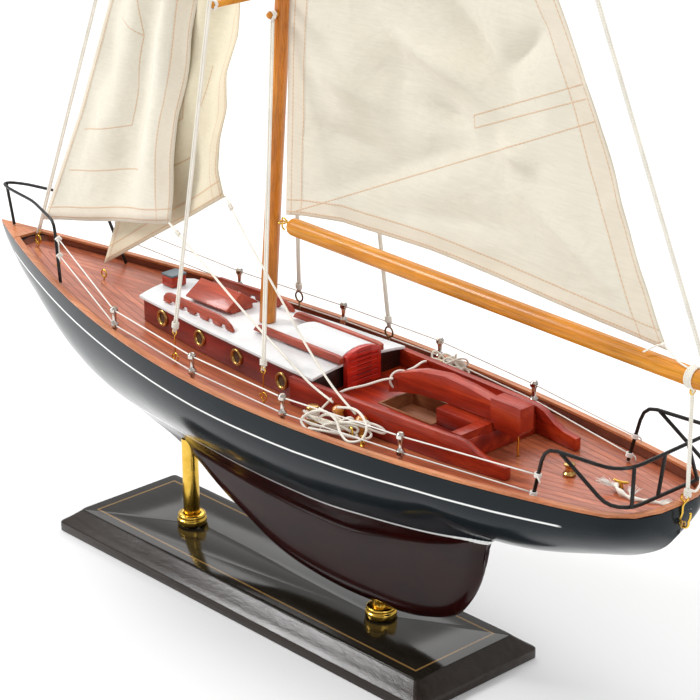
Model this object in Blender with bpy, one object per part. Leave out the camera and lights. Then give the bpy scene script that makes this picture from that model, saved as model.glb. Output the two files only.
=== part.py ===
"""Wooden display model of a classic sailing yacht with two headsails, on a plinth.

The bow points to -X, port is -Y and the mast stands up along +Z. The origin is on
the table under the middle of the model. Dimensions are in millimetres, and MM
turns them into metres. One body is the stand, hull and standing rig; the boom
swings about the gooseneck and the tiller turns about its brass pin.
"""

import math

import bmesh
import bpy
from mathutils import Vector

MM = 0.001
GAP = 0.3

# Hull: plan outline, sheer and centreline profile.
BOW_X = -285.5
STERN_X = 269.0
BEAM_HALF = 65.8
BEAM_X = 16.0
BOW_FULLNESS = 1.85
STERN_TAPER = 0.52
STERN_ROUND_X = 243.0
RAIL_LOW_X = 41.0
RAIL_LOW_Z = 148.7
BOW_RISE = 14.8
STERN_RISE = 5.8
RAIL_SEAT = 2.0
KEEL_LINE = [
    (-285.5, 161.5), (-281, 153), (-264, 135), (-228, 111), (-189, 88.5),
    (-150, 74), (-114, 65), (-94, 58), (-79, 50), (-52, 39), (-19, 27.5),
    (21, 22.5), (61, 23), (99, 27.5), (121, 37), (133, 52), (140, 69),
    (143, 86), (147, 90.5), (165, 94), (193, 101), (219, 109), (245, 118),
    (261, 128), (269, 138),
]
BILGE_LINE = [
    (-285.5, 161.5), (-281, 153), (-264, 135), (-228, 111), (-189, 88.5),
    (-150, 74), (-114, 65), (-90, 60), (-55, 54), (-13, 48.5), (22, 47), (49, 48.5),
    (78, 57), (106, 67.5), (125, 77), (143, 88), (165, 94), (193, 101), (219, 109),
    (245, 118), (261, 128), (269, 138),
]
HOLLOW = [(-150, 1.1), (-90, 1.7), (125, 1.7), (160, 1.1)]
FIN_HALF = [(-160, 1.5), (-114, 2.5), (-80, 4.5), (0, 9), (60, 9), (120, 6), (146, 4), (160, 1.5)]
FIN_ROUND = 9.0
HULL_COLUMNS = 44
HULL_ROWS = 11

# Deck, rails and stand.
DECK_DROP = 5.5
DECK_DROP_AFT = 1.7
DECK_THICK = 1.6
DECK_START = -254.7
RAIL_WIDTH = 3.6
PLINTH_X = -19.0
PLINTH_TOP = 14.0
PLINTH_STEPS = [
    (0, 156, 47), (5.4, 156, 47), (6.2, 155.4, 46.4), (8.6, 152, 43),
    (12, 148, 38.8), (13.4, 146.6, 37.2), (14, 146, 36.5),
]
POST_X = (-103.5, 61.6)
POST_RADIUS = 5.0
COLLAR_RADIUS = 9.0
COLLAR_TOP = 21.0
SPIGOT_RADIUS = 2.6
SPIGOT_DEPTH = 8.0

# Deckhouse and cockpit.
TRUNK_PLAN = [(-116, 20.5), (-60, 26.0), (0, 30.3), (43, 32.4)]
ROOF_PLAN = [(-120, 20.5), (-60, 27.5), (0, 32.3), (45, 34.5)]
ROOF_EDGE = 161.4
ROOF_CAMBER = 3.0
ROOF_THICK = 1.6
HOUSE_TOP = 171.0
COAMING_PLAN = [(30, 37.5), (70, 36.2), (107, 34.5), (141, 32.8), (180, 28)]
COAMING_TOP = [(30, 159.4), (149, 159.4), (155, 158.2), (163, 154.2), (170, 152.2), (180, 151.5)]
COAMING_THICK = 4.0
SOLE_TOP = 150.0
WELL = (74.4, 112.5, 12.0)
BAR_TOP = 159.4

# Tiller.
TILLER_PIVOT = (162.4, 0.0, 150.0)
TILLER_LINE = [
    (71, 152.8, 162.5, 3.2), (80, 155.6, 166.6, 3.4), (95, 158.6, 171.6, 3.5),
    (113, 159.8, 174, 3.5), (130, 159.8, 172.8, 3.5), (146.8, 159.8, 170.4, 3.5),
    (147.4, 159.8, 173, 5), (149.4, 159.7, 173, 5), (150.6, 156.8, 173, 5), (165.5, 156.6, 173, 5),
    (168, 159.6, 172.6, 5),
]
PIN_RADIUS = 0.7

# Spars and rigging.
MAST_FOOT = (-30.2, 164.7)
MAST_TOP_Z = 779.0
RAKE = 0.0945
MAST_RADIUS = (4.75, 3.5)
BOOM_PIVOT = (-17.0, 0.0, 226.2)
BOOM_START = (-9.0, 225.9)
BOOM_END = (286.0, 219.5)
BOOM_RADIUS = 5.0
SPREADER_Z = 356.0
SPREADER_HALF = 49.5
MAST_PIN_Z = 343.7
MAST_PIN_HALF = 10.5
DOWEL_RADIUS = 1.75
CORD_RADIUS = 0.65
STRAND_GAP = 0.85
SAIL_THICK = 0.9
HOOK_DROP = 19.0
CHAINS = {"fore": (-55.5, 46.5), "aft": (19.5, 46.7)}

# Rails and deck fittings.
WIRE_RADIUS = 1.0
LINE_RADIUS = 0.4
STANCHIONS = [(-109.5, 47.2), (-28.5, 56.6), (48.0, 58.5), (127.5, 49.4)]
BALL_RADIUS = 2.5
LOW_BALL = 6.5
HIGH_BALL = 15.5
WINCH = (58.0, 46.0)
BOLLARD_X = 197.5

FINISHES = {
    "pine": ((0.66, 0.30, 0.07), 0.0, 0.35),
    "mahogany": ((0.36, 0.035, 0.02), 0.0, 0.3),
    "deck_wood": ((0.42, 0.12, 0.05), 0.0, 0.4),
    "rail_wood": ((0.55, 0.2, 0.08), 0.0, 0.4),
    "liner_wood": ((0.4, 0.17, 0.09), 0.0, 0.5),
    "navy_gloss": ((0.012, 0.02, 0.035), 0.0, 0.15),
    "white_paint": ((0.82, 0.83, 0.84), 0.0, 0.35),
    "black_lacquer": ((0.025, 0.018, 0.014), 0.0, 0.12),
    "black_wire": ((0.012, 0.012, 0.012), 0.0, 0.35),
    "grey_paint": ((0.16, 0.18, 0.19), 0.0, 0.4),
    "brass": ((0.85, 0.6, 0.18), 1.0, 0.18),
    "nickel": ((0.62, 0.58, 0.54), 1.0, 0.15),
    "canvas": ((0.8, 0.72, 0.56), 0.0, 0.85),
    "cotton": ((0.85, 0.82, 0.74), 0.0, 0.8),
}


# ---------------------------------------------------------------- curves

def lerp(a, b, t):
    return a + (b - a) * t


def mix(p, q, t):
    return tuple(lerp(a, b, t) for a, b in zip(p, q))


def table(rows, x):
    """Straight-line value at x of rows (x, value), held level past the ends."""
    if x <= rows[0][0]:
        return rows[0][1]
    for (x0, v0), (x1, v1) in zip(rows, rows[1:]):
        if x <= x1:
            return lerp(v0, v1, (x - x0) / (x1 - x0))
    return rows[-1][1]


def smooth(points, parts):
    """Curve through the points, with tangents weighted by the spacing."""
    rows = [Vector(p) for p in points]
    tangents = []
    for i in range(len(rows)):
        before = rows[i] - rows[max(i - 1, 0)]
        after = rows[min(i + 1, len(rows) - 1)] - rows[i]
        if not before.length:
            tangents.append(after.normalized())
        elif not after.length:
            tangents.append(before.normalized())
        else:
            ahead = after / after.length * before.length
            behind = before / before.length * after.length
            tangents.append((ahead + behind) / (before.length + after.length))
    curve = [rows[0]]
    for i in range(len(rows) - 1):
        span = (rows[i + 1] - rows[i]).length
        for k in range(1, parts + 1):
            t = k / parts
            h1 = 2 * t ** 3 - 3 * t ** 2 + 1
            h2 = t ** 3 - 2 * t ** 2 + t
            h3 = t ** 3 - t ** 2
            curve.append(
                rows[i] * h1 + tangents[i] * span * h2
                + rows[i + 1] * (1 - h1) + tangents[i + 1] * span * h3
            )
    return [tuple(p) for p in curve]


def resample(points, parts):
    """The same line as parts steps of equal length."""
    rows = [Vector(p) for p in points]
    lengths = [0.0]
    for a, b in zip(rows, rows[1:]):
        lengths.append(lengths[-1] + (b - a).length)
    out = []
    k = 0
    for i in range(parts + 1):
        want = lengths[-1] * i / parts
        while k < len(rows) - 2 and lengths[k + 1] < want:
            k += 1
        span = lengths[k + 1] - lengths[k]
        out.append(tuple(rows[k].lerp(rows[k + 1], (want - lengths[k]) / span)))
    return out


def bent(points, reach, parts=3):
    """The points as a line whose corners are rounded over the given reach."""
    rows = [Vector(p) for p in points]
    line = [rows[0]]
    for a, b, c in zip(rows, rows[1:], rows[2:]):
        start = b + (a - b).normalized() * min(reach, (a - b).length * 0.45)
        end = b + (c - b).normalized() * min(reach, (c - b).length * 0.45)
        for k in range(parts + 1):
            t = k / parts
            line.append(start.lerp(b, t).lerp(b.lerp(end, t), t))
    line.append(rows[-1])
    return line


# ---------------------------------------------------------------- bodies

def make(name, corners, faces, finish, pivot=(0, 0, 0)):
    """One object from corners in millimetres, with its origin at the pivot."""
    build = bmesh.new()
    origin = Vector(pivot)
    verts = [build.verts.new((Vector(c) - origin) * MM) for c in corners]
    for face in faces:
        build.faces.new([verts[i] for i in face])
    bmesh.ops.remove_doubles(build, verts=build.verts, dist=0.002 * MM)
    bmesh.ops.recalc_face_normals(build, faces=build.faces)
    if build.calc_volume(signed=True) < 0:
        bmesh.ops.reverse_faces(build, faces=build.faces)
    mesh = bpy.data.meshes.new(name)
    build.to_mesh(mesh)
    build.free()
    obj = bpy.data.objects.new(name, mesh)
    obj.location = origin * MM
    bpy.context.scene.collection.objects.link(obj)
    if finish:
        obj.data.materials.append(paint(name, finish))
    return obj


def paint(name, finish):
    colour, metallic, roughness = FINISHES[finish]
    material = bpy.data.materials.new(name + "_" + finish)
    material.use_nodes = True
    shader = material.node_tree.nodes["Principled BSDF"]
    shader.inputs["Base Color"].default_value = (*colour, 1.0)
    shader.inputs["Metallic"].default_value = metallic
    shader.inputs["Roughness"].default_value = roughness
    return material


def skin(name, rings, finish, loop=False, pivot=(0, 0, 0)):
    """Closed body over rings of equal count; an open run is capped at both ends."""
    count = len(rings[0])
    corners = [point for ring in rings for point in ring]
    faces = []
    for i in range(len(rings) if loop else len(rings) - 1):
        a = i * count
        b = (i + 1) % len(rings) * count
        for j in range(count):
            k = (j + 1) % count
            faces.append((a + j, a + k, b + k, b + j))
    if not loop:
        faces.append(tuple(range(count)))
        faces.append(tuple(range(len(corners) - count, len(corners))))
    return make(name, corners, faces, finish, pivot)


def circle(radius, sides, turn=0.0):
    angles = [2 * math.pi * (k + turn) / sides for k in range(sides)]
    return [(radius * math.cos(a), radius * math.sin(a)) for a in angles]


def turned(name, profile, centre, sides, finish, loop=False, axis="z", pivot=(0, 0, 0)):
    """Turned body: profile rows are (radius, height along the axis)."""
    cx, cy, cz = centre
    rings = []
    for radius, height in profile:
        ring = circle(max(radius, 0.0), sides)
        if axis == "z":
            rings.append([(cx + a, cy + b, cz + height) for a, b in ring])
        else:
            rings.append([(cx + a, cy + height, cz + b) for a, b in ring])
    return skin(name, rings, finish, loop, pivot)


def tube(name, line, radius, sides, finish, pivot=(0, 0, 0)):
    """Round wire or cord along a line of points."""
    rows = [Vector(p) for p in line]
    heading = (rows[1] - rows[0]).normalized()
    side = heading.orthogonal().normalized()
    rings = []
    for i, point in enumerate(rows):
        before = (point - rows[max(i - 1, 0)]).normalized()
        after = (rows[min(i + 1, len(rows) - 1)] - point).normalized()
        turn = (before + after).normalized()
        side = (side - turn * side.dot(turn)).normalized()
        other = turn.cross(side)
        rings.append([tuple(point + side * a + other * b) for a, b in circle(radius, sides)])
    return skin(name, rings, finish, False, pivot)


def prism(name, outline, low, high, axis, finish, pivot=(0, 0, 0)):
    """Flat outline pushed from low to high along x, y or z."""
    def place(a, b, c):
        return {"x": (c, a, b), "y": (a, c, b), "z": (a, b, c)}[axis]
    rings = [[place(a, b, c) for a, b in outline] for c in (low, high)]
    return skin(name, rings, finish, False, pivot)


def block(name, x, y, z, finish):
    outline = [(x[0], y[0]), (x[1], y[0]), (x[1], y[1]), (x[0], y[1])]
    return prism(name, outline, z[0], z[1], "z", finish)


def combine(obj, helper, operation):
    """Adds or removes a hidden helper body."""
    helper.hide_render = True
    helper.display_type = "WIRE"
    change = obj.modifiers.new(helper.name, "BOOLEAN")
    change.operation = operation
    change.solver = "EXACT"
    change.object = helper


def cut(obj, helper):
    combine(obj, helper, "DIFFERENCE")


def fuse(obj, helper):
    combine(obj, helper, "UNION")


def sheet(name, grid, thickness, finish, pivot=(0, 0, 0)):
    """Thin panel either side of a grid of points, thick in y."""
    rows = len(grid)
    columns = len(grid[0])
    flat = [point for row in grid for point in row]
    corners = [(x, y - thickness / 2, z) for x, y, z in flat]
    corners += [(x, y + thickness / 2, z) for x, y, z in flat]
    far = rows * columns
    faces = []
    for i in range(rows - 1):
        for j in range(columns - 1):
            a = i * columns + j
            b = a + columns
            faces.append((a, a + 1, b + 1, b))
            faces.append((far + a, far + b, far + b + 1, far + a + 1))
    edge = list(range(columns))
    edge += [i * columns + columns - 1 for i in range(1, rows)]
    edge += [(rows - 1) * columns + j for j in range(columns - 2, -1, -1)]
    edge += [i * columns for i in range(rows - 2, 0, -1)]
    for a, b in zip(edge, edge[1:] + edge[:1]):
        faces.append((a, b, far + b, far + a))
    return make(name, corners, faces, finish, pivot)


# ---------------------------------------------------------------- hull shape

def rail_z(x):
    if x < RAIL_LOW_X:
        return RAIL_LOW_Z + BOW_RISE * ((RAIL_LOW_X - x) / 326) ** 2
    return RAIL_LOW_Z + STERN_RISE * ((x - RAIL_LOW_X) / 228) ** 2


def half_beam(x):
    if x < BEAM_X:
        return BEAM_HALF * max(0.0, 1 - ((BEAM_X - x) / (BEAM_X - BOW_X)) ** BOW_FULLNESS)
    width = BEAM_HALF * (1 - STERN_TAPER * ((x - BEAM_X) / (STERN_X - BEAM_X)) ** 2)
    if x > STERN_ROUND_X:
        end = (x - STERN_ROUND_X) / (STERN_X - STERN_ROUND_X)
        width *= max(0.0, 1 - min(end, 1.0) ** 3) ** (1 / 3)
    return width


def deck_z(x):
    return rail_z(x) - DECK_DROP - DECK_DROP_AFT * min(1.0, max(0.0, (x - 60) / 205))


def plan_outline():
    """Starboard edge of the hull at the rail, from stem to stern."""
    line = [(x, half_beam(x)) for x in (lerp(BOW_X, STERN_ROUND_X, k / 90) for k in range(91))]
    for k in range(1, 17):
        end = math.sin(math.pi / 2 * k / 16) ** (2 / 3)
        x = lerp(STERN_ROUND_X, STERN_X, end)
        line.append((x, half_beam(x) if k < 16 else 0.0))
    return line


def inset_line(inset, start, end, parts):
    """Plan outline moved inboard and cut to x between start and end."""
    rows = plan_outline()
    moved = []
    for k, (x, y) in enumerate(rows):
        ax, ay = rows[max(k - 1, 0)]
        bx, by = rows[min(k + 1, len(rows) - 1)]
        length = math.hypot(bx - ax, by - ay)
        side = y - inset * (bx - ax) / length
        if k == len(rows) - 1:
            side = 0.0
        moved.append((x + inset * (by - ay) / length, max(side, 0.0)))
    moved[-1] = (STERN_X - inset, 0.0)
    line = []
    for p, q in zip(moved, moved[1:]):
        for limit in (start, end):
            if p[0] < limit < q[0]:
                line.append(mix(p, q, (limit - p[0]) / (q[0] - p[0])))
        if start <= q[0] <= end or (q is moved[-1] and end > STERN_X - 1 - inset):
            line.append(q)
    if start <= moved[0][0]:
        line.insert(0, moved[0])
    return resample(line, parts)


def distance_to(line, x, z):
    best = 1e9
    for (ax, az), (bx, bz) in zip(line, line[1:]):
        dx, dz = bx - ax, bz - az
        t = ((x - ax) * dx + (z - az) * dz) / (dx * dx + dz * dz)
        t = min(1.0, max(0.0, t))
        best = min(best, math.hypot(x - ax - t * dx, z - az - t * dz))
    return best


def half_breadth(x, z, keel):
    low = table(BILGE_LINE, x)
    high = rail_z(x) - RAIL_SEAT
    t = min(1.0, max(0.0, (z - low) / (high - low)))
    body = half_beam(x) * (1 - (1 - t) ** 2.4) ** table(HOLLOW, x)
    near = min(1.0, distance_to(keel, x, z) / FIN_ROUND)
    fin = table(FIN_HALF, x) * math.sqrt(1 - (1 - near) ** 2) * (1 - t)
    return (body ** 3 + fin ** 3) ** (1 / 3)


def keel_z(x):
    return table(KEEL_LINE[:15], x)


def slab(name, inset, start, end, low, high, parts, finish):
    """Level-athwartships plate between two heights given as functions of x."""
    rings = []
    for x, y in inset_line(inset, start, end, parts):
        rings.append([(x, -y, low(x)), (x, y, low(x)), (x, y, high(x)), (x, -y, high(x))])
    return skin(name, rings, finish)


def build_hull():
    keel = resample(smooth(KEEL_LINE, 6), HULL_COLUMNS)
    sheer = resample(plan_outline(), HULL_COLUMNS)
    fine = resample(smooth(KEEL_LINE, 6), 160)
    corners = []
    for i, ((kx, kz), (sx, sy)) in enumerate(zip(keel, sheer)):
        for j in range(HULL_ROWS + 1):
            t = (j / HULL_ROWS) ** 1.35
            x = lerp(kx, sx, t)
            z = lerp(kz, rail_z(sx) - RAIL_SEAT, t)
            y = half_breadth(x, z, fine)
            if j == 0 or i in (0, HULL_COLUMNS):
                y = 0.0
            if j == HULL_ROWS:
                y = sy
            corners.append((x, y, z))
    half = len(corners)
    corners += [(x, -y, z) for x, y, z in corners]
    faces = []
    step = HULL_ROWS + 1
    for i in range(HULL_COLUMNS):
        a = i * step
        b = a + step
        for j in range(HULL_ROWS):
            faces.append((a + j, b + j, b + j + 1, a + j + 1))
            faces.append((half + a + j, half + a + j + 1, half + b + j + 1, half + b + j))
        top, after = a + HULL_ROWS, b + HULL_ROWS
        faces.append((top, after, half + after, half + top))
    hull = make("hull", corners, faces, "navy_gloss")
    floor = DECK_THICK + GAP
    recess = slab(
        "deck_recess", RAIL_WIDTH - 0.8, DECK_START - GAP, STERN_X,
        lambda x: deck_z(x) - floor, lambda x: rail_z(x) + 4, 40, None)
    cut(hull, recess)
    for k, x in enumerate(POST_X):
        bore = turned("hull_bore_%d" % k, [(0, -20), (2.9, -20), (2.9, 0), (0, 0)],
                      (x, 0, keel_z(x) + SPIGOT_DEPTH + 1), 12, None)
        cut(hull, bore)


def build_deck():
    deck = slab("deck", RAIL_WIDTH - 0.2, DECK_START, STERN_X,
                lambda x: deck_z(x) - DECK_THICK, deck_z, 40, "deck_wood")
    x, y, _ = TILLER_PIVOT
    bore = turned("deck_bore", [(0, -5), (1.0, -5), (1.0, 5), (0, 5)], (x, y, deck_z(x)), 8, None)
    cut(deck, bore)
    well = block("deck_well", (WELL[0] - 2, WELL[1] + 2), (-WELL[2] - 2, WELL[2] + 2),
                 (135, 150), None)
    cut(deck, well)
    slab("bow_cap", -0.2, BOW_X, DECK_START - 1.6, lambda x: rail_z(x) - RAIL_SEAT + GAP, rail_z,
         6, "rail_wood")
    for side, name in ((-1, "port"), (1, "starboard")):
        outer = inset_line(-0.2, DECK_START - 1.2, STERN_X + 1, 40)
        inner = inset_line(RAIL_WIDTH - 0.2, DECK_START - 1.2, STERN_X + 1, 40)
        rings = []
        for (ox, oy), (ix, iy) in zip(outer, inner):
            oy, iy = side * max(oy, 0.15), side * max(iy, 0.15)
            low = GAP - RAIL_SEAT
            rings.append([
                (ox, oy, rail_z(ox) + low), (ox, oy, rail_z(ox)),
                (ix, iy, rail_z(ix)), (ix, iy, rail_z(ix) + low),
            ])
        skin("toe_rail_" + name, rings, "rail_wood")


# ---------------------------------------------------------------- stand

def build_stand():
    rings = []
    for z, half_x, half_y in PLINTH_STEPS:
        ring = []
        for sx, sy, turn in ((1, 1, 0), (-1, 1, 1), (-1, -1, 2), (1, -1, 3)):
            for k in range(4):
                angle = math.pi / 2 * (turn + k / 3)
                ring.append((
                    PLINTH_X + sx * (half_x - 2.5) + 2.5 * math.cos(angle),
                    sy * (half_y - 2.5) + 2.5 * math.sin(angle), z))
        rings.append(ring)
    base = skin("stand_base", rings, "black_lacquer")
    for k, x in enumerate(POST_X):
        bore = turned("base_bore_%d" % k, [(0, -SPIGOT_DEPTH), (2.9, -SPIGOT_DEPTH), (2.9, 5), (0, 5)],
                      (x, 0, PLINTH_TOP), 12, None)
        cut(base, bore)
    for x, name in zip(POST_X, ("front", "rear")):
        spigot = SPIGOT_RADIUS
        foot = PLINTH_TOP - SPIGOT_DEPTH + GAP
        rows = [(0, foot), (spigot, foot), (spigot, PLINTH_TOP + GAP), (POST_RADIUS, PLINTH_TOP + GAP)]
        rings = [[(x + a, b, z) for a, b in circle(r, 16)] for r, z in rows]
        for radius in (POST_RADIUS, spigot):
            rings.append([(x + a, b, keel_z(x + a) - 0.4) for a, b in circle(radius, 16)])
        tip = keel_z(x) + SPIGOT_DEPTH
        rings.append([(x + a, b, tip) for a, b in circle(spigot, 16)])
        rings.append([(x, 0, tip)] * 16)
        skin(name + "_post", rings, "brass")
        inner = POST_RADIUS + GAP
        low = PLINTH_TOP + GAP
        turned(name + "_collar", [
            (inner, low), (COLLAR_RADIUS - 0.4, low), (COLLAR_RADIUS, low + 0.5),
            (COLLAR_RADIUS, low + 3.4), (COLLAR_RADIUS - 0.9, low + 4.0),
            (COLLAR_RADIUS - 0.9, low + 4.6), (COLLAR_RADIUS - 0.4, low + 5.0),
            (COLLAR_RADIUS - 0.6, COLLAR_TOP - 0.5), (COLLAR_RADIUS - 1.4, COLLAR_TOP),
            (inner, COLLAR_TOP),
        ], (x, 0, 0), 20, "brass", loop=True)


# ---------------------------------------------------------------- deckhouse

def roof_z(x, y):
    return ROOF_EDGE + ROOF_CAMBER * (1 - (y / table(ROOF_PLAN, x)) ** 2)


def build_deckhouse():
    rings = []
    for x in (-116, -88, -60, -30, 0, 22, 43):
        width = table(TRUNK_PLAN, x)
        ring = [(x, -width, deck_z(x) + GAP), (x, width, deck_z(x) + GAP)]
        for k in range(7):
            y = width * (1 - k / 3)
            ring.append((x, y, roof_z(x, y) - ROOF_THICK - GAP))
        rings.append(ring)
    skin("cabin_trunk", rings, "mahogany")
    rings = []
    for x in (-120, -90, -60, -30, 0, 22, 45):
        width = table(ROOF_PLAN, x)
        across = [width * (1 - k / 4) for k in range(9)]
        ring = [(x, y, roof_z(x, y)) for y in across]
        ring += [(x, y, roof_z(x, y) - ROOF_THICK) for y in reversed(across)]
        rings.append(ring)
    skin("cabin_roof", rings, "white_paint")

    block("vent_box", (-117.5, -108), (-5.2, 5.2), (164.7, 170.8), "mahogany")
    block("vent_lid", (-117.8, -107.7), (-5.5, 5.5), (171.1, 172.2), "grey_paint")
    gable = [(-8, 164.7), (8, 164.7), (8, 167.3), (11.5, 166.6), (11.8, 167.6), (0, 175.4),
             (-11.8, 167.6), (-11.5, 166.6), (-8, 167.3)]
    prism("skylight", gable, -88, -52, "x", "mahogany")

    for side, name in ((-1, "port"), (1, "starboard")):
        top = [(-99, 163.2), (-98.6, 166.2), (-96.4, 168.6), (-93, 169.5), (-46, 169.5),
               (-40, 168.6), (-35.4, 166.4), (-32.6, 163.2)]
        foot = []
        for x in (-42, -54, -66, -78, -90):
            foot += [(x + 2.6, 163.2), (x + 2.0, 165.4), (x - 2.0, 165.4), (x - 2.6, 163.2)]
        outline = top + foot
        rings = []
        for shift in (-1.0, 1.0):
            rings.append([
                (x, side * (lerp(18.6, 22.6, (x + 99) / 66.4) + shift), z) for x, z in outline])
        skin("grab_rail_" + name, rings, "mahogany")
        outline = [(-24, 165.2), (-21.6, 168.4), (-17, 169), (44, 169), (47, 168.2), (47, 164.8)]
        inner = 13.0 + GAP
        y = sorted((side * inner, side * (inner + 3.0)))
        prism("hatch_rail_" + name, outline, y[0], y[1], "y", "mahogany")

    arch = [(-12.7, 165), (-12.7, 168.2), (-8.5, 170), (-4.2, 170.9), (0, 171.2),
            (4.2, 170.9), (8.5, 170), (12.7, 168.2), (12.7, 165)]
    prism("sliding_hatch", arch, -1, 44.6, "x", "white_paint")
    arch = [(-12.4, SOLE_TOP + GAP), (-12.4, 168.4), (-8.5, 170.2), (-4.2, 171.2), (0, 171.5),
            (4.2, 171.2), (8.5, 170.2), (12.4, 168.4), (12.4, SOLE_TOP + GAP)]
    door = prism("companionway_door", arch, 45.4, 48.8, "x", "mahogany")
    for k in range(5):
        z = 153.4 + 3.0 * k
        slot = [(48.2, z), (49.4, z - 0.4), (49.4, z + 1.1)]
        rings = [[(x, y, h) for x, h in slot] for y in (-9.6, 9.6)]
        cut(door, skin("louvre_%d" % k, rings, None))


def build_cockpit():
    for side, name in ((-1, "port"), (1, "starboard")):
        rings = []
        for x in (30, 50, 70, 90, 107, 124, 141, 149, 155, 159, 163, 170, 180):
            outer = side * table(COAMING_PLAN, x)
            inner = side * (table(COAMING_PLAN, x) - COAMING_THICK)
            low, high = deck_z(x) + GAP, table(COAMING_TOP, x)
            rings.append([(x, outer, low), (x, outer, high), (x, inner, high), (x, inner, low)])
        skin("coaming_" + name, rings, "mahogany")
    rings = []
    for x in (43.3, 70, 107, 141.4):
        width = table(COAMING_PLAN, x) - COAMING_THICK - GAP
        low = deck_z(x) + GAP
        rings.append([(x, -width, low), (x, width, low), (x, width, SOLE_TOP), (x, -width, SOLE_TOP)])
    sole = skin("cockpit_sole", rings, "mahogany")
    x0, x1, y = WELL
    wall = 1.4
    cut(sole, block("sole_well", (x0 - wall - GAP, x1 + wall + GAP),
                    (-y - wall - GAP, y + wall + GAP), (130, 170), None))
    low = deck_z(x0) - DECK_THICK
    liner = block("well_liner", (x0 - wall, x1 + wall), (-y - wall, y + wall), (low, SOLE_TOP + 0.4),
                  "liner_wood")
    cut(liner, block("liner_well", (x0, x1), (-y, y), (low + 1, 170), None))
    block("helm_box", (x1 + wall + 0.6, 141.4), (-11, 11), (SOLE_TOP + GAP, BAR_TOP - 0.2), "mahogany")
    width = table(COAMING_PLAN, 149) - COAMING_THICK - GAP
    foot = deck_z(145) + 0.5
    outline = [(141.8, foot), (149.2, foot), (149.2, 155), (148.5, 155.3), (148.5, BAR_TOP), (141.8, BAR_TOP)]
    prism("aft_bar", outline, -width, width, "y", "mahogany")


def build_tiller():
    rings = []
    for x, low, high, width in TILLER_LINE:
        rings.append([(x, -width, low), (x, width, low), (x, width, high), (x, -width, high)])
    tiller = skin("tiller", rings, "mahogany", pivot=TILLER_PIVOT)
    x, y, _ = TILLER_PIVOT
    cut(tiller, turned("tiller_bore", [(0, 150), (1.0, 150), (1.0, 159), (0, 159)], (x, y, 0), 8, None))
    low = deck_z(x) - DECK_THICK
    turned("tiller_pin", [(0, low), (PIN_RADIUS, low), (PIN_RADIUS, 158.6), (0, 158.6)],
           (x, y, 0), 8, "brass")


# ---------------------------------------------------------------- spars and sails

def mast_x(z):
    return MAST_FOOT[0] + RAKE * (z - MAST_FOOT[1])


def mast_radius(z):
    return lerp(*MAST_RADIUS, (z - MAST_FOOT[1]) / (MAST_TOP_Z - MAST_FOOT[1]))


def build_spars():
    rings = []
    foot = MAST_FOOT[1]
    for z in (foot, 330, 370, 560, MAST_TOP_Z - 2.5):
        rings.append([(mast_x(z) + a, b, z) for a, b in circle(mast_radius(z), 14)])
    for z, share in ((MAST_TOP_Z - 0.8, 0.8), (MAST_TOP_Z, 0.4)):
        rings.append([(mast_x(z) + a, b, z) for a, b in circle(mast_radius(z) * share, 14)])
    mast = skin("mast", rings, "pine")
    for z, half, name in ((SPREADER_Z, SPREADER_HALF, "spreader"), (MAST_PIN_Z, MAST_PIN_HALF, "mast_pin")):
        radius = DOWEL_RADIUS + GAP
        centre = (mast_x(z), 0, z)
        cut(mast, turned(name + "_bore", [(0, -12), (radius, -12), (radius, 12), (0, 12)],
                         centre, 12, None, axis="y"))
        end = [(DOWEL_RADIUS - 0.6, half), (DOWEL_RADIUS, half - 0.7)]
        rows = [(0, -half)] + [(r, -h) for r, h in end] + [(r, h) for r, h in reversed(end)] + [(0, half)]
        turned(name, rows, centre, 12, "pine", axis="y")

    x0, z0 = BOOM_START
    x1, z1 = BOOM_END
    rings = []
    for x, radius in ((x0 + 7, 0), (x0 + 7, 0.9), (x0, 0.9), (x0, 3.6), (x0 + 1.4, 4.7), (x0 + 4, 5),
                      (140, 5), (x1 - 4, 4.9), (x1 - 1.4, 4.3), (x1 - 0.3, 2.8), (x1, 0)):
        z = lerp(z0, z1, (x - x0) / (x1 - x0))
        rings.append([(x, a, z + b) for a, b in circle(radius, 14)])
    skin("boom", rings, "pine", pivot=BOOM_PIVOT)

    px, _, pz = BOOM_PIVOT
    eye = [(px + 0.6 + 2.2 * math.cos(a), 2.2 * math.sin(a), pz)
           for a in (math.pi + 2 * math.pi * k / 16 for k in range(17))]
    eye[-1] = mix(eye[-2], eye[-1], 0.45)
    tube("gooseneck_eye", eye, 0.55, 8, "brass")
    hook = bent([
        (x0 + 6, 0, z0), (x0 - 2.6, 0, z0), (x0 - 3.6, 0, z0 + 2.6), (px + 0.7, 0, z0 + 3.4),
        (px + 0.5, 0, z0 - 2.6), (px + 2.6, 0, z0 - 3.6)], 1.6, 3)
    tube("boom_hook", hook, 0.55, 8, "brass", pivot=BOOM_PIVOT)


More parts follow.
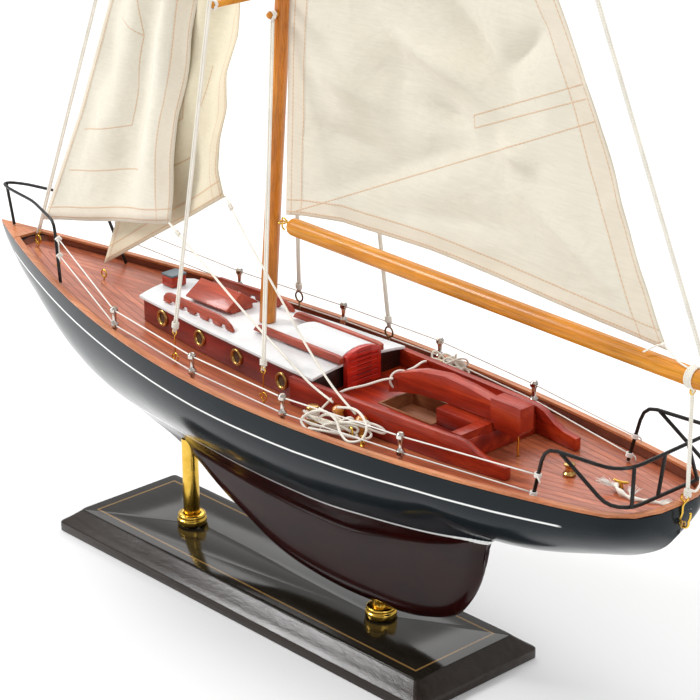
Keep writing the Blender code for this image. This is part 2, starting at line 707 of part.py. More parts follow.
def build_sails():
    foot_lift = [(0, 0), (0.05, 2.6), (0.16, 6.3), (0.4, 7), (0.6, 4.6), (0.84, 1.4), (1, 0)]
    leech = [(228.7, 259), (333.6, 209.7), (383, 181), (450, 148), (530, 112), (620, 72), (716, 34)]
    grid = []
    for i in range(13):
        t = i / 12
        row = []
        low = lerp(231.4, 714, t)
        high = lerp(228.7, 716, t)
        start = mast_x(low) + mast_radius(low) + 1.1 + 5.3 * max(0.0, 1 - (low - 229) / 110)
        for j in range(9):
            s = j / 8
            lift = table(foot_lift, s) * (1 - t) ** 8
            belly = 7 * math.sin(math.pi * s) * (1 - t) ** 0.5 * min(1.0, 0.4 + 3 * t)
            row.append((lerp(start, table(leech, high), s), belly, lerp(low, high, s) + lift))
        grid.append(row)
    sheet("mainsail", grid, SAIL_THICK, "canvas", pivot=BOOM_PIVOT)

    for name, tack, head, clew, sag in (
            ("jib", (-236.6, 0, 173.9), (-3, 0, 690), (-92.8, -16, 210), 9),
            ("staysail", (-180.1, 0, 160.2), (-20, 0, 510), (-52.5, -10, 234.6), 5)):
        grid = []
        for i in range(11):
            t = 0.975 * i / 10
            front = mix(tack, head, t)
            back = mix(clew, head, t)
            row = []
            for j in range(6):
                s = j / 5
                x, y, z = mix(front, back, s)
                row.append((x, y + sag * math.sin(math.pi * s) * t * (1 - t), z))
            grid.append(row)
        sheet(name, grid, SAIL_THICK, "canvas")


def doubled(name, points, across, pivot=(0, 0, 0)):
    """Cord laid double: up one side of the route, over the end and back down."""
    side = Vector(across) * STRAND_GAP
    rows = [Vector(p) for p in points]
    heading = (rows[-1] - rows[-2]).normalized()
    line = [p + side for p in rows]
    line += [rows[-1] + side * 0.7 + heading * 0.6, rows[-1] + heading * 0.85,
             rows[-1] - side * 0.7 + heading * 0.6]
    line += [p - side for p in reversed(rows)]
    tube(name, line, CORD_RADIUS, 6, "cotton", pivot)


def build_rigging():
    head_z = 768.0
    head_x = mast_x(head_z)
    # The long shroud starts forward to port and aft to starboard.
    for side, name, tall, short in ((-1, "port", "fore", "aft"), (1, "starboard", "aft", "fore")):
        x, y = CHAINS[tall]
        doubled("%s_shroud_%s" % (tall, name), [
            (x, side * y, deck_z(x) + HOOK_DROP),
            (mast_x(SPREADER_Z) - 0.4, side * (SPREADER_HALF + 1.2), SPREADER_Z),
            (head_x, side * 5.2, head_z)], (1, 0, 0))
        x, y = CHAINS[short]
        doubled("%s_shroud_%s" % (short, name), [
            (x, side * y, deck_z(x) + HOOK_DROP),
            (mast_x(MAST_PIN_Z), side * 7.2, MAST_PIN_Z - 3.6)], (1, 0, 0))
    doubled("forestay", [(-246.5, 0, 164), (head_x - 5.4, 0, head_z + 3)], (0, 1, 0))
    doubled("topping_lift", [(279, 0, 226.6), (head_x + 5.4, 0, head_z)], (0, 1, 0), BOOM_PIVOT)
    doubled("mainsheet", [(272.4, 0, 158), (272.2, 0, 212.6)], (0, 1, 0))


# ---------------------------------------------------------------- rails and fittings

def build_rails():
    def mirrored(points):
        return points + [(x, -y, z) for x, y, z in reversed(points)]

    leg = deck_z(-191) + 0.8
    top = mirrored([(-191, -25, leg), (-203, -19, 186), (-233, -12, 190.2), (-266, -6.5, 189.6),
                    (-278, -2.4, 189)])
    pulpit = tube("pulpit", bent(top, 6), WIRE_RADIUS, 8, "black_wire")
    foot = rail_z(-272) + 0.7
    fuse(pulpit, tube("pulpit_stem", [(-272, 0, foot), (-278, 0, 189)], WIRE_RADIUS, 8, None))

    leg = deck_z(205) + 0.8
    top = [
        (205.0, -35.0, leg), (212.4, -35.2, 175.8), (252, -33, 176.6), (259.5, -25, 177),
        (260.5, 30, 178.5), (257, 36, 179), (214, 36.4, 176.8), (207.2, 33.4, leg),
    ]
    low = [
        (222, -35, 176), (250.5, -33, 157), (260, -26, 156.6), (261.5, 30, 157), (256, 35.5, 158.4),
        (224, 36.2, 177),
    ]
    pushpit = tube("pushpit", bent(top, 8), WIRE_RADIUS, 8, "black_wire")
    fuse(pushpit, tube("pushpit_lower", bent(low, 6), WIRE_RADIUS, 8, None))
    for k, (foot_y, head_y) in enumerate(((-26, -24.5), (-7.5, -2.5), (21, 14))):
        foot = mix(low[2], low[3], (foot_y + 26) / 56)
        head = mix(top[3], top[4], (head_y + 25) / 55)
        fuse(pushpit, tube("pushpit_strut_%d" % k, [foot, head], WIRE_RADIUS, 8, None))


def build_stanchions():
    for side, name, shift in ((-1, "port", 0.0), (1, "starboard", 1.8)):
        balls = [[(x, side * y, deck_z(x) + h) for x, y in STANCHIONS] for h in (HIGH_BALL, LOW_BALL)]
        ends = [
            ((206.4 + shift, side * 35.2, 159.6), (-194.5, side * 22.4, 178)),
            ((203.7 + shift, side * 34.8, 148.9), (-193.0, side * 23.2, 168)),
        ]
        line = [ends[0][0]] + balls[0][::-1] + [ends[0][1], ends[1][1]] + balls[1] + [ends[1][0]]
        tube("lifeline_" + name, line, LINE_RADIUS, 6, "cotton")
        for k, (x, y) in enumerate(STANCHIONS):
            foot = deck_z(x) + GAP
            rows = [(0, foot), (1.9, foot), (1.5, foot + 1.2), (1.1, foot + 2.6)]
            for height in (LOW_BALL, HIGH_BALL):
                centre = deck_z(x) + height
                for angle in (-55, -20, 20, 55):
                    turn = math.radians(angle)
                    rows.append((BALL_RADIUS * math.cos(turn), centre + BALL_RADIUS * math.sin(turn)))
                rows.append((1.1, centre + BALL_RADIUS + 0.2))
            rows[-1] = (0, deck_z(x) + HIGH_BALL + BALL_RADIUS)
            post = turned("stanchion_%s_%d" % (name, k + 1), rows, (x, side * y, 0), 10, "nickel")
            for level, row in enumerate(balls):
                before = Vector(row[k - 1] if k else ends[level][1])
                after = Vector(row[k + 1] if k < 3 else ends[level][0])
                heading = (after - before).normalized() * 4
                centre = Vector(row[k])
                cut(post, tube("eyelet_%s_%d_%d" % (name, k, level), [centre - heading, centre + heading],
                               0.85, 8, None))


def build_fittings():
    x, y = WINCH
    foot = deck_z(x) + GAP
    drum = [(0, 0), (4, 0), (4, 1.2), (3.2, 2.2), (2.5, 4), (2.4, 6), (2.8, 7.4), (3.7, 8.4),
            (3.7, 9.6), (3.0, 10.2), (0, 10.2)]
    for side, name in ((-1, "port"), (1, "starboard")):
        turned("winch_" + name, drum, (x, side * y, foot), 14, "brass")
    post = [(0, 0), (3.4, 0), (3.4, 1.0), (2.2, 2.0), (2.0, 4.2), (3.0, 5.4), (3.0, 6.2), (0, 6.4)]
    turned("bollard", post, (BOLLARD_X, 0, deck_z(BOLLARD_X) + GAP), 14, "brass")


for leftover in list(bpy.data.objects):
    bpy.data.objects.remove(leftover)

build_stand()
build_hull()
build_deck()
build_deckhouse()
build_cockpit()
build_tiller()
build_spars()
build_sails()
build_rigging()
build_rails()
build_stanchions()
build_fittings()
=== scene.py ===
"""Looks of the wooden display yacht: finishes, sails, cords, lashings and small brass fittings.

Lengths are in millimetres in the CAD model's frame, with the bow at -X and port at -Y,
and MM turns them into metres.
"""

import math

import bmesh
import bpy
from mathutils import Matrix, Vector, noise


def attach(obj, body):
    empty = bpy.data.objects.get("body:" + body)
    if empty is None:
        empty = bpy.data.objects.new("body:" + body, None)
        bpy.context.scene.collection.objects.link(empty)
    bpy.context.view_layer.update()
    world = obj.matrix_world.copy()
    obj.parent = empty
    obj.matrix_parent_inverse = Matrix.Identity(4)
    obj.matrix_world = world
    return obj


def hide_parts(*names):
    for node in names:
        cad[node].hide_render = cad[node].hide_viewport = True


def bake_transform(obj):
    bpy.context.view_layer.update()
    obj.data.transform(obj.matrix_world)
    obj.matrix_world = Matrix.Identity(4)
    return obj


MM = 0.001

# Camera.
CAMERA_PLACE = (0.91779, -0.81945, 0.64351)
CAMERA_AZIMUTH = 47.05
CAMERA_ELEVATION = 21.64
CAMERA_ROLL = -0.36
CAMERA_LENS = 122.93
CAMERA_SENSOR = 36.0

# Hull shape, as in the CAD model.
BOW_X = -285.5
STERN_X = 269.0
BEAM_HALF = 65.8
BEAM_X = 16.0
RAIL_LOW_X = 41.0
RAIL_LOW_Z = 148.7
BOW_RISE = 14.8
STERN_RISE = 5.8
DECK_DROP = 5.5
DECK_DROP_AFT = 1.7
BOW_RUN = 326.0
STERN_RUN = 228.0
RAIL_SEAT = 2.0
BULWARK = 2.9
RECESS_START = -254.9
RECESS_BELOW_DECK = 1.8
STERN_TAPER = 0.52
STERN_ROUND_X = 243.0
PLANK_WIDTH = 4.6
PLANK_LENGTH = 170.0
PLANK_STAGGER = 47.0
BOW_FULLNESS = 1.85
WATERLINE_Z = 89.0
KEEL_LINE = [
    (-285.5, 161.5), (-281, 153), (-264, 135), (-228, 111), (-189, 88.5),
    (-150, 74), (-114, 65), (-94, 58), (-79, 50), (-52, 39), (-19, 27.5),
    (21, 22.5), (61, 23), (99, 27.5), (121, 37), (133, 52), (140, 69),
    (143, 86), (147, 90.5), (165, 94), (193, 101), (219, 109), (245, 118),
    (261, 128), (269, 138),
]
BILGE_LINE = [
    (-285.5, 161.5), (-281, 153), (-264, 135), (-228, 111), (-189, 88.5),
    (-150, 74), (-114, 65), (-90, 60), (-55, 54), (-13, 48.5), (22, 47), (49, 48.5),
    (78, 57), (106, 67.5), (125, 77), (143, 88), (165, 94), (193, 101), (219, 109),
    (245, 118), (261, 128), (269, 138),
]
HOLLOW = [(-290, 1.1), (-150, 1.1), (-90, 1.7), (125, 1.7), (160, 1.1), (270, 1.1)]
FIN_HALF = [(-160, 1.5), (-114, 2.5), (-80, 4.5), (0, 9), (60, 9), (120, 6), (146, 4), (160, 1.5)]
FIN_ROUND = 9.0
HULL_COLUMNS = 150
HULL_ROWS = 34

# Plinth.
PLINTH_CENTRE_X = -19.0
PLINTH_TOP_Z = 13.8
GOLD_HALF = (138.5, 30.0)

# Spars and rigging.
MAST_FOOT = (-30.2, 164.7)
MAST_TOP_Z = 779.0
RAKE = 0.0945
MAST_RADIUS = (4.75, 3.5)
BOOM_START = (-9.0, 225.9)
BOOM_END = (286.0, 219.5)
SPREADER_Z = 356.0
SPREADER_HALF = 49.5
MAST_PIN_Z = 343.7
HEAD_Z = 768.0
CORD = 1.3
LINE = 0.8
STRAND_GAP = 0.85
WEAVE = 0.7
CLOTH = 0.35
EDGE_BREAK = 0.28
HOOK_DROP = 19.0
CHAINS = {"fore": (-55.5, 46.5), "aft": (19.5, 46.7)}
STANCHIONS = [(-109.5, 47.2), (-28.5, 56.6), (48.0, 58.5), (127.5, 49.4)]
LOW_BALL = 6.5
HIGH_BALL = 15.5
WINCH = (58.0, 46.0)
SIDES = ((-1, "port"), (1, "starboard"))

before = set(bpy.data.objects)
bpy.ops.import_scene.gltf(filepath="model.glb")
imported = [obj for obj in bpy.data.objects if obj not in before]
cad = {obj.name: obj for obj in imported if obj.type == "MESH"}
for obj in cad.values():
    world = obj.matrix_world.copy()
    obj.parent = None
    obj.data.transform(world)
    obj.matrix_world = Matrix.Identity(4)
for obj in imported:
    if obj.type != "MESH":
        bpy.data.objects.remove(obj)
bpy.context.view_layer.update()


# ---------------------------------------------------------------- curves

def lerp(a, b, t):
    return a + (b - a) * t


def clamp(t):
    return min(1.0, max(0.0, t))


def ease(t):
    t = clamp(t)
    return t * t * (3 - 2 * t)


def mix(p, q, t):
    return tuple(lerp(a, b, t) for a, b in zip(p, q))


def table(rows, x):
    """Straight-line value at x of rows (x, value), held level past the ends."""
    if x <= rows[0][0]:
        return rows[0][1]
    for (x0, v0), (x1, v1) in zip(rows, rows[1:]):
        if x <= x1:
            return lerp(v0, v1, (x - x0) / (x1 - x0))
    return rows[-1][1]


def smooth(points, parts):
    """Curve through the points, with tangents weighted by the spacing."""
    rows = [Vector(p) for p in points]
    tangents = []
    for i in range(len(rows)):
        before = rows[i] - rows[max(i - 1, 0)]
        after = rows[min(i + 1, len(rows) - 1)] - rows[i]
        if not before.length:
            tangents.append(after.normalized())
        elif not after.length:
            tangents.append(before.normalized())
        else:
            ahead = after / after.length * before.length
            behind = before / before.length * after.length
            tangents.append((ahead + behind) / (before.length + after.length))
    curve = [rows[0]]
    for i in range(len(rows) - 1):
        span = (rows[i + 1] - rows[i]).length
        for k in range(1, parts + 1):
            t = k / parts
            h1 = 2 * t ** 3 - 3 * t ** 2 + 1
            h2 = t ** 3 - 2 * t ** 2 + t
            h3 = t ** 3 - t ** 2
            curve.append(
                rows[i] * h1 + tangents[i] * span * h2
                + rows[i + 1] * (1 - h1) + tangents[i + 1] * span * h3
            )
    return curve


def resample(points, parts):
    """The same line as parts steps of equal length."""
    rows = [Vector(p) for p in points]
    lengths = [0.0]
    for a, b in zip(rows, rows[1:]):
        lengths.append(lengths[-1] + (b - a).length)
    out = []
    k = 0
    for i in range(parts + 1):
        want = lengths[-1] * i / parts
        while k < len(rows) - 2 and lengths[k + 1] < want:
            k += 1
        span = lengths[k + 1] - lengths[k]
        out.append(tuple(rows[k].lerp(rows[k + 1], (want - lengths[k]) / span)))
    return out


def ripple(a, b, c):
    """Smooth noise from -1 to 1."""
    return noise.noise(Vector((a, b, c)))


def wobble(a, b, c):
    """Three smooth noise values as one vector, the same on every run (noise_vector's are not)."""
    return Vector((ripple(a, b, c), ripple(a + 31.4, b, c), ripple(a, b + 47.2, c)))


def flat_curve(rows):
    """Smooth curve through rows of two numbers."""
    return [(p.x, p.y) for p in smooth([(*row, 0) for row in rows], 8)]


def even_rows(rows, parts):
    """The curve through rows of two numbers, in parts steps of equal length."""
    return [p[:2] for p in resample([(*row, 0) for row in rows], parts)]


def rail_z(x):
    if x < RAIL_LOW_X:
        return RAIL_LOW_Z + BOW_RISE * ((RAIL_LOW_X - x) / BOW_RUN) ** 2
    return RAIL_LOW_Z + STERN_RISE * ((x - RAIL_LOW_X) / STERN_RUN) ** 2


def deck_z(x):
    return rail_z(x) - DECK_DROP - DECK_DROP_AFT * clamp((x - 60) / 205)


def half_beam(x):
    if x < BEAM_X:
        return BEAM_HALF * max(0.0, 1 - ((BEAM_X - x) / (BEAM_X - BOW_X)) ** BOW_FULLNESS)
    width = BEAM_HALF * (1 - STERN_TAPER * ((x - BEAM_X) / (STERN_X - BEAM_X)) ** 2)
    if x > STERN_ROUND_X:
        end = (x - STERN_ROUND_X) / (STERN_X - STERN_ROUND_X)
        width *= max(0.0, 1 - min(end, 1.0) ** 3) ** (1 / 3)
    return width


def mast_x(z):
    return MAST_FOOT[0] + RAKE * (z - MAST_FOOT[1])


def mast_radius(z):
    return lerp(*MAST_RADIUS, (z - MAST_FOOT[1]) / (MAST_TOP_Z - MAST_FOOT[1]))


def boom_z(x):
    (x0, z0), (x1, z1) = BOOM_START, BOOM_END
    return lerp(z0, z1, (x - x0) / (x1 - x0))


# ---------------------------------------------------------------- materials

class Shader:
    """A Principled material built up from its nodes."""

    def __init__(self, name, **values):
        self.material = bpy.data.materials.new(name)
        self.material.use_nodes = True
        self.tree = self.material.node_tree
        self.surface = self.tree.nodes["Principled BSDF"]
        for key, value in values.items():
            self.surface.inputs[key.replace("_", " ").title().replace("Ior", "IOR")].default_value = value
        self.place = self.tree.nodes.new("ShaderNodeTexCoord").outputs["Object"]

    def node(self, kind, **settings):
        made = self.tree.nodes.new("ShaderNode" + kind)
        for key, value in settings.items():
            setattr(made, key, value)
        return made

    def feed(self, socket, value):
        if isinstance(value, bpy.types.NodeSocket):
            self.tree.links.new(value, socket)
        else:
            socket.default_value = value

    def math(self, operation, *values):
        made = self.node("Math", operation=operation)
        for socket, value in zip(made.inputs, values):
            self.feed(socket, value)
        return made.outputs[0]

    def add(self, a, b):
        return self.math("ADD", a, b)

    def minus(self, a, b):
        return self.math("SUBTRACT", a, b)

    def times(self, a, b):
        return self.math("MULTIPLY", a, b)

    def over(self, a, b):
        return self.math("DIVIDE", a, b)

    def distance(self, a):
        return self.math("ABSOLUTE", a)

    def split(self, vector):
        made = self.node("SeparateXYZ")
        self.feed(made.inputs[0], vector)
        return made.outputs[0], made.outputs[1], made.outputs[2]

    def stretch(self, scale, shift=(0, 0, 0)):
        made = self.node("Mapping")
        self.feed(made.inputs["Vector"], self.place)
        made.inputs["Scale"].default_value = scale
        made.inputs["Location"].default_value = shift
        return made.outputs[0]

    def noise(self, vector, scale, detail=3.0, rough=0.5, twist=0.0):
        made = self.node("TexNoise")
        self.feed(made.inputs["Vector"], vector)
        made.inputs["Scale"].default_value = scale
        made.inputs["Detail"].default_value = detail
        made.inputs["Roughness"].default_value = rough
        made.inputs["Distortion"].default_value = twist
        return made.outputs["Fac"]

    def ramp(self, value, stops):
        made = self.node("ValToRGB")
        self.feed(made.inputs[0], value)
        cells = made.color_ramp.elements
        while len(cells) < len(stops):
            cells.new(0.5)
        for cell, (place, colour) in zip(cells, stops):
            cell.position = place
            cell.color = (*colour, 1.0) if len(colour) == 3 else colour
        return made.outputs[0]

    def grey(self, value, low, high, out_low=0.0, out_high=1.0):
        made = self.node("MapRange")
        for key, entry in (("Value", value), ("From Min", low), ("From Max", high),
                           ("To Min", out_low), ("To Max", out_high)):
            self.feed(made.inputs[key], entry)
        return made.outputs[0]

    def blend(self, share, first, second, kind="MIX"):
        made = self.node("Mix", data_type="RGBA", blend_type=kind)
        self.feed(made.inputs[0], share)
        for socket, value in ((made.inputs[6], first), (made.inputs[7], second)):
            if isinstance(value, tuple) and len(value) == 3:
                value = (*value, 1.0)
            self.feed(socket, value)
        return made.outputs[2]

    def shade(self, base, value, low, high, dark, light):
        """Multiplies a colour by the value, stretched from low..high to dark..light."""
        level = self.grey(value, low, high, dark, light)
        made = self.node("CombineColor")
        for socket in made.inputs:
            self.feed(socket, level)
        return self.blend(1.0, base, made.outputs[0], "MULTIPLY")

    def colour(self, value):
        self.feed(self.surface.inputs["Base Color"], value)

    def rough(self, value):
        self.feed(self.surface.inputs["Roughness"], value)

    def bump(self, height, depth, strength=1.0):
        """Raises the surface by height, of which 1 is depth millimetres."""
        made = self.node("Bump")
        made.inputs["Strength"].default_value = strength
        made.inputs["Distance"].default_value = depth * MM
        self.feed(made.inputs["Height"], height)
        if self.surface.inputs["Normal"].links:
            self.feed(made.inputs["Normal"], self.surface.inputs["Normal"].links[0].from_socket)
        self.feed(self.surface.inputs["Normal"], made.outputs[0])


def along(axis, lengthwise, across):
    """Scale that draws a pattern out along one axis."""
    return tuple(lengthwise if k == "xyz".index(axis) else across for k in range(3))


def wood(name, dark, middle, light, axis="x", rough=0.3, coat=0.3, shift=0.0, shade_from=None,
         louvre=None):
    """Varnished wood: long bands, fine pores along the grain and an uneven stain.

    shade_from is the x, in millimetres, aft of which the wood is painted nearly black: painted
    shade on the trunk's after end, which is turned from the key light. louvre is the height of
    one slat of a louvred door, whose gaps between slats are painted dark as shade.
    """
    s = Shader(name, coat_weight=coat, coat_roughness=0.12, specular_ior_level=0.3)
    place = (shift, shift * 0.7, shift * 0.3)
    bands = s.noise(s.stretch(along(axis, 9, 130), place), 1.0, 4.0, 0.55, 0.6)
    pores = s.noise(s.stretch(along(axis, 60, 1500), place), 1.0, 3.0, 0.6)
    stain = s.noise(s.stretch((1, 1, 1), place), 28.0, 3.0, 0.5)
    base = s.ramp(bands, [(0.3, dark), (0.5, middle), (0.7, light)])
    base = s.shade(base, pores, 0.36, 0.56, 0.72, 1.0)
    base = s.shade(base, stain, 0.3, 0.7, 0.82, 1.14)
    x, y, z = millimetres(s)
    # Aft of the given x the wood is painted nearly black: painted shade on the after end, which is turned
    # from the key light.
    if shade_from is not None:
        aft_shade = s.grey(x, shade_from, shade_from + 0.2)
        base = s.blend(aft_shade, base, s.blend(bands, (0.010, 0.004, 0.003), (0.036, 0.013, 0.009)))
    if louvre is not None:
        slat = s.math("FRACT", s.over(z, louvre))
        inside = s.math("LESS_THAN", s.distance(y), 5.4)
        # The gaps between the slats are painted dark: painted shade in the recesses; the bump gives the
        # slats' relief.
        slot_shade = s.times(s.grey(slat, 0.12, 0.3, 1.0, 0.0), inside)
        base = s.blend(s.times(slot_shade, 0.8), base, (0.08, 0.004, 0.003))
        s.bump(s.times(slat, inside), 0.6, 0.8)
    s.colour(base)
    s.rough(s.grey(bands, 0.3, 0.7, rough + 0.08, rough - 0.05))
    s.bump(pores, 0.06, 0.5)
    s.bump(s.noise(s.place, 120.0, 2.0), 0.12, 0.35)
    return s.material


def half_beam_nodes(s, x):
    """Half breadth of the deck at x, in millimetres, as half_beam has it forward of the stern's end."""
    fore = s.over(s.minus(BEAM_X, x), BEAM_X - BOW_X)
    fore = s.math("POWER", s.math("MAXIMUM", fore, 0.0), BOW_FULLNESS)
    aft = s.over(s.minus(x, BEAM_X), STERN_X - BEAM_X)
    aft = s.times(s.math("POWER", s.math("MAXIMUM", aft, 0.0), 2.0), STERN_TAPER)
    return s.times(s.minus(s.minus(1.0, fore), aft), BEAM_HALF)


def rail_nodes(s, x):
    """Height of the rail at x, in millimetres, as rail_z works it out."""
    fore = s.math("MAXIMUM", s.over(s.minus(RAIL_LOW_X, x), BOW_RUN), 0.0)
    aft = s.math("MAXIMUM", s.over(s.minus(x, RAIL_LOW_X), STERN_RUN), 0.0)
    rise = s.add(s.times(s.math("POWER", fore, 2.0), BOW_RISE),
                 s.times(s.math("POWER", aft, 2.0), STERN_RISE))
    return s.add(rise, RAIL_LOW_Z)


def millimetres(s):
    made = s.node("VectorMath", operation="SCALE")
    s.feed(made.inputs[0], s.place)
    made.inputs["Scale"].default_value = 1000.0
    return s.split(made.outputs[0])


def deck_planks():
    """Narrow planks that follow the side of the hull, with fine dark seams."""
    s = Shader("deck_planks", coat_weight=0.25, coat_roughness=0.15)
    x, y, _ = millimetres(s)
    inboard = s.minus(half_beam_nodes(s, x), s.distance(y))
    across = s.over(inboard, PLANK_WIDTH)
    plank = s.math("FLOOR", across)
    part = s.math("FRACT", across)
    seam = s.math("MINIMUM", part, s.minus(1.0, part))
    seam = s.grey(seam, 0.035, 0.09)
    label = s.node("CombineXYZ")
    s.feed(label.inputs[0], plank)
    butt = s.over(s.add(x, s.times(plank, PLANK_STAGGER)), PLANK_LENGTH)
    s.feed(label.inputs[1], s.math("FLOOR", butt))
    s.feed(label.inputs[2], s.math("SIGN", y))
    random = s.node("TexWhiteNoise", noise_dimensions="3D")
    s.feed(random.inputs["Vector"], label.outputs[0])
    tone = random.outputs["Value"]
    bands = s.noise(s.stretch((14, 260, 260)), 1.0, 4.0, 0.6, 0.4)
    pores = s.noise(s.stretch((90, 2200, 2200)), 1.0, 2.0, 0.6)
    stain = s.noise(s.place, 16.0, 3.0)
    base = s.ramp(bands, [(0.28, (0.34, 0.075, 0.030)), (0.5, (0.46, 0.118, 0.048)),
                          (0.74, (0.57, 0.17, 0.072))])
    base = s.shade(base, tone, 0.0, 1.0, 0.86, 1.12)
    base = s.shade(base, pores, 0.35, 0.6, 0.78, 1.0)
    base = s.shade(base, stain, 0.3, 0.7, 0.88, 1.1)
    base = s.blend(seam, (0.235, 0.055, 0.025), base)
    s.colour(base)
    s.rough(s.grey(bands, 0.3, 0.7, 0.42, 0.3))
    s.bump(seam, 0.15, 0.7)
    s.bump(pores, 0.05, 0.5)
    return s.material


def hull_paint():
    """Navy above the waterline and oxblood below, lined in white, under clear gloss."""
    s = Shader("hull_paint")
    x, _, z = millimetres(s)
    mottle = s.noise(s.place, 9.0, 4.0, 0.6)
    navy = s.ramp(mottle, [(0.3, (0.0075, 0.0120, 0.0155)), (0.7, (0.0125, 0.0185, 0.0225))])
    red_wave = s.noise(s.stretch((25, 60, 60)), 1.0, 4.0, 0.6, 0.5)
    oxblood = s.ramp(red_wave, [(0.3, (0.012, 0.0015, 0.0015)), (0.7, (0.028, 0.0030, 0.0028))])
    below = s.math("LESS_THAN", z, WATERLINE_Z)
    base = s.blend(below, navy, oxblood)
    s.feed(s.surface.inputs["Specular IOR Level"], s.grey(below, 0.0, 1.0, 0.14, 0.3))
    waver = s.grey(s.noise(s.place, 30.0, 1.0), 0.0, 1.0, -0.25, 0.25)
    level = s.add(z, waver)
    off = s.distance(s.minus(level, WATERLINE_Z))
    stripe = s.grey(off, 1.15, 1.35, 1.0, 0.0)

    below_rail = s.grey(s.distance(s.minus(x, 20.0)), 40.0, 230.0, 15.2, 11.6)
    gap = s.distance(s.minus(s.minus(rail_nodes(s, x), below_rail), level))
    pin = s.grey(gap, 0.5, 0.7, 1.0, 0.0)
    pin = s.times(pin, s.grey(x, 226.0, 229.0, 1.0, 0.0))
    pin = s.times(pin, s.grey(x, -262.0, -258.0, 0.0, 1.0))
    base = s.blend(s.math("MAXIMUM", stripe, pin), base, (0.92, 0.93, 0.92))
    s.colour(base)
    s.rough(s.grey(s.noise(s.place, 60.0, 3.0), 0.3, 0.7, 0.12, 0.18))
    s.bump(s.noise(s.place, 55.0, 2.0), 0.14, 0.35)
    return s.material


def plinth_lacquer():
    """Nearly black lacquer, polished and lined in gold on top, brushed on the moulded edge."""
    s = Shader("plinth_lacquer", specular_ior_level=0.32)
    x, y, z = millimetres(s)
    top = s.grey(z, PLINTH_TOP_Z - 0.5, PLINTH_TOP_Z)
    side_x = s.minus(s.distance(s.minus(x, PLINTH_CENTRE_X)), GOLD_HALF[0])
    side_y = s.minus(s.distance(y), GOLD_HALF[1])
    edge = s.distance(s.math("MAXIMUM", side_x, side_y))
    gold = s.times(s.grey(edge, 0.5, 0.75, 1.0, 0.0), top)
    worn = s.noise(s.place, 300.0, 3.0, 0.7)
    gold = s.times(gold, s.grey(worn, 0.3, 0.42, 0.55, 1.0))
    flow = s.noise(s.stretch((30, 220, 220)), 1.0, 4.0, 0.6, 0.8)
    brown = s.ramp(flow, [(0.3, (0.022, 0.015, 0.0115)), (0.7, (0.036, 0.027, 0.022))])
    black = s.ramp(flow, [(0.3, (0.012, 0.0095, 0.0065)), (0.7, (0.020, 0.0165, 0.0115))])
    base = s.blend(top, brown, black)
    base = s.blend(gold, base, (0.27, 0.155, 0.05))
    s.colour(base)
    rough = s.grey(s.noise(s.place, 35.0, 3.0), 0.3, 0.7, 0.1, 0.16)
    s.rough(s.add(rough, s.times(s.minus(1.0, top), 0.12)))
    pits = s.noise(s.stretch((160, 420, 420)), 1.0, 4.0, 0.6, 0.4)
    s.bump(s.times(pits, s.minus(1.0, top)), 0.22, 0.5)
    s.bump(s.noise(s.place, 30.0, 2.0), 0.1, 0.4)
    return s.material


def enamel(name, low, high, rough, scale=40.0, ripple=0.15, shine=0.5):
    """Brushed paint over wood: faint strokes, a little ripple and uneven gloss."""
    s = Shader(name, specular_ior_level=shine)
    strokes = s.noise(s.stretch((25, 420, 420)), 1.0, 3.0, 0.6)
    cloud = s.noise(s.place, scale, 4.0, 0.6)
    base = s.ramp(cloud, [(0.3, low), (0.7, high)])
    base = s.shade(base, strokes, 0.3, 0.7, 0.95, 1.03)
    s.colour(base)
    s.rough(s.grey(cloud, 0.3, 0.7, rough - 0.06, rough + 0.08))
    s.bump(strokes, 0.04, 0.5)
    s.bump(s.noise(s.place, 90.0, 2.0), ripple, 0.35)
    return s.material


def metal(name, low, high, rough, worn=0.08):
    """Polished metal with soft tarnish, fine scratches and a slightly uneven surface."""
    s = Shader(name, metallic=1.0)
    tarnish = s.noise(s.place, 160.0, 4.0, 0.65)
    scratch = s.noise(s.stretch((3000, 3000, 300)), 1.0, 2.0, 0.6)
    s.colour(s.ramp(tarnish, [(0.3, low), (0.65, high)]))
    s.rough(s.add(s.grey(tarnish, 0.3, 0.7, rough + worn, rough),
                   s.grey(scratch, 0.4, 0.7, 0.0, 0.07)))
    s.bump(s.noise(s.place, 420.0, 2.0), 0.06, 0.3)
    return s.material


def cotton(name, low, high, pitch=1.5):
    """Laid cotton cord: two strands wind round it, one ridge each pitch, with loose fibres on top."""
    s = Shader(name, roughness=0.9, specular_ior_level=0.2, sheen_weight=0.25, sheen_roughness=0.5)
    run = s.node("UVMap", uv_map="run")
    u, v, _ = s.split(run.outputs[0])
    turn = s.add(s.times(u, 2.0), s.over(v, pitch))
    strand = s.grey(s.math("SINE", s.times(turn, 2 * math.pi)), -1.0, 1.0)
    fibre = s.noise(s.place, 2600.0, 2.0, 0.7)
    cloud = s.noise(s.place, 90.0, 3.0)
    # The grooves between the strands are painted darker than the ridges: painted shade.
    base = s.ramp(s.grey(strand, 0.0, 0.7), [(0.0, low), (1.0, high)])
    base = s.shade(base, fibre, 0.3, 0.7, 0.9, 1.05)
    base = s.shade(base, cloud, 0.3, 0.7, 0.93, 1.04)
    s.colour(base)
    s.bump(strand, 0.06, 0.5)
    s.bump(fibre, 0.04, 0.5)
    return s.material


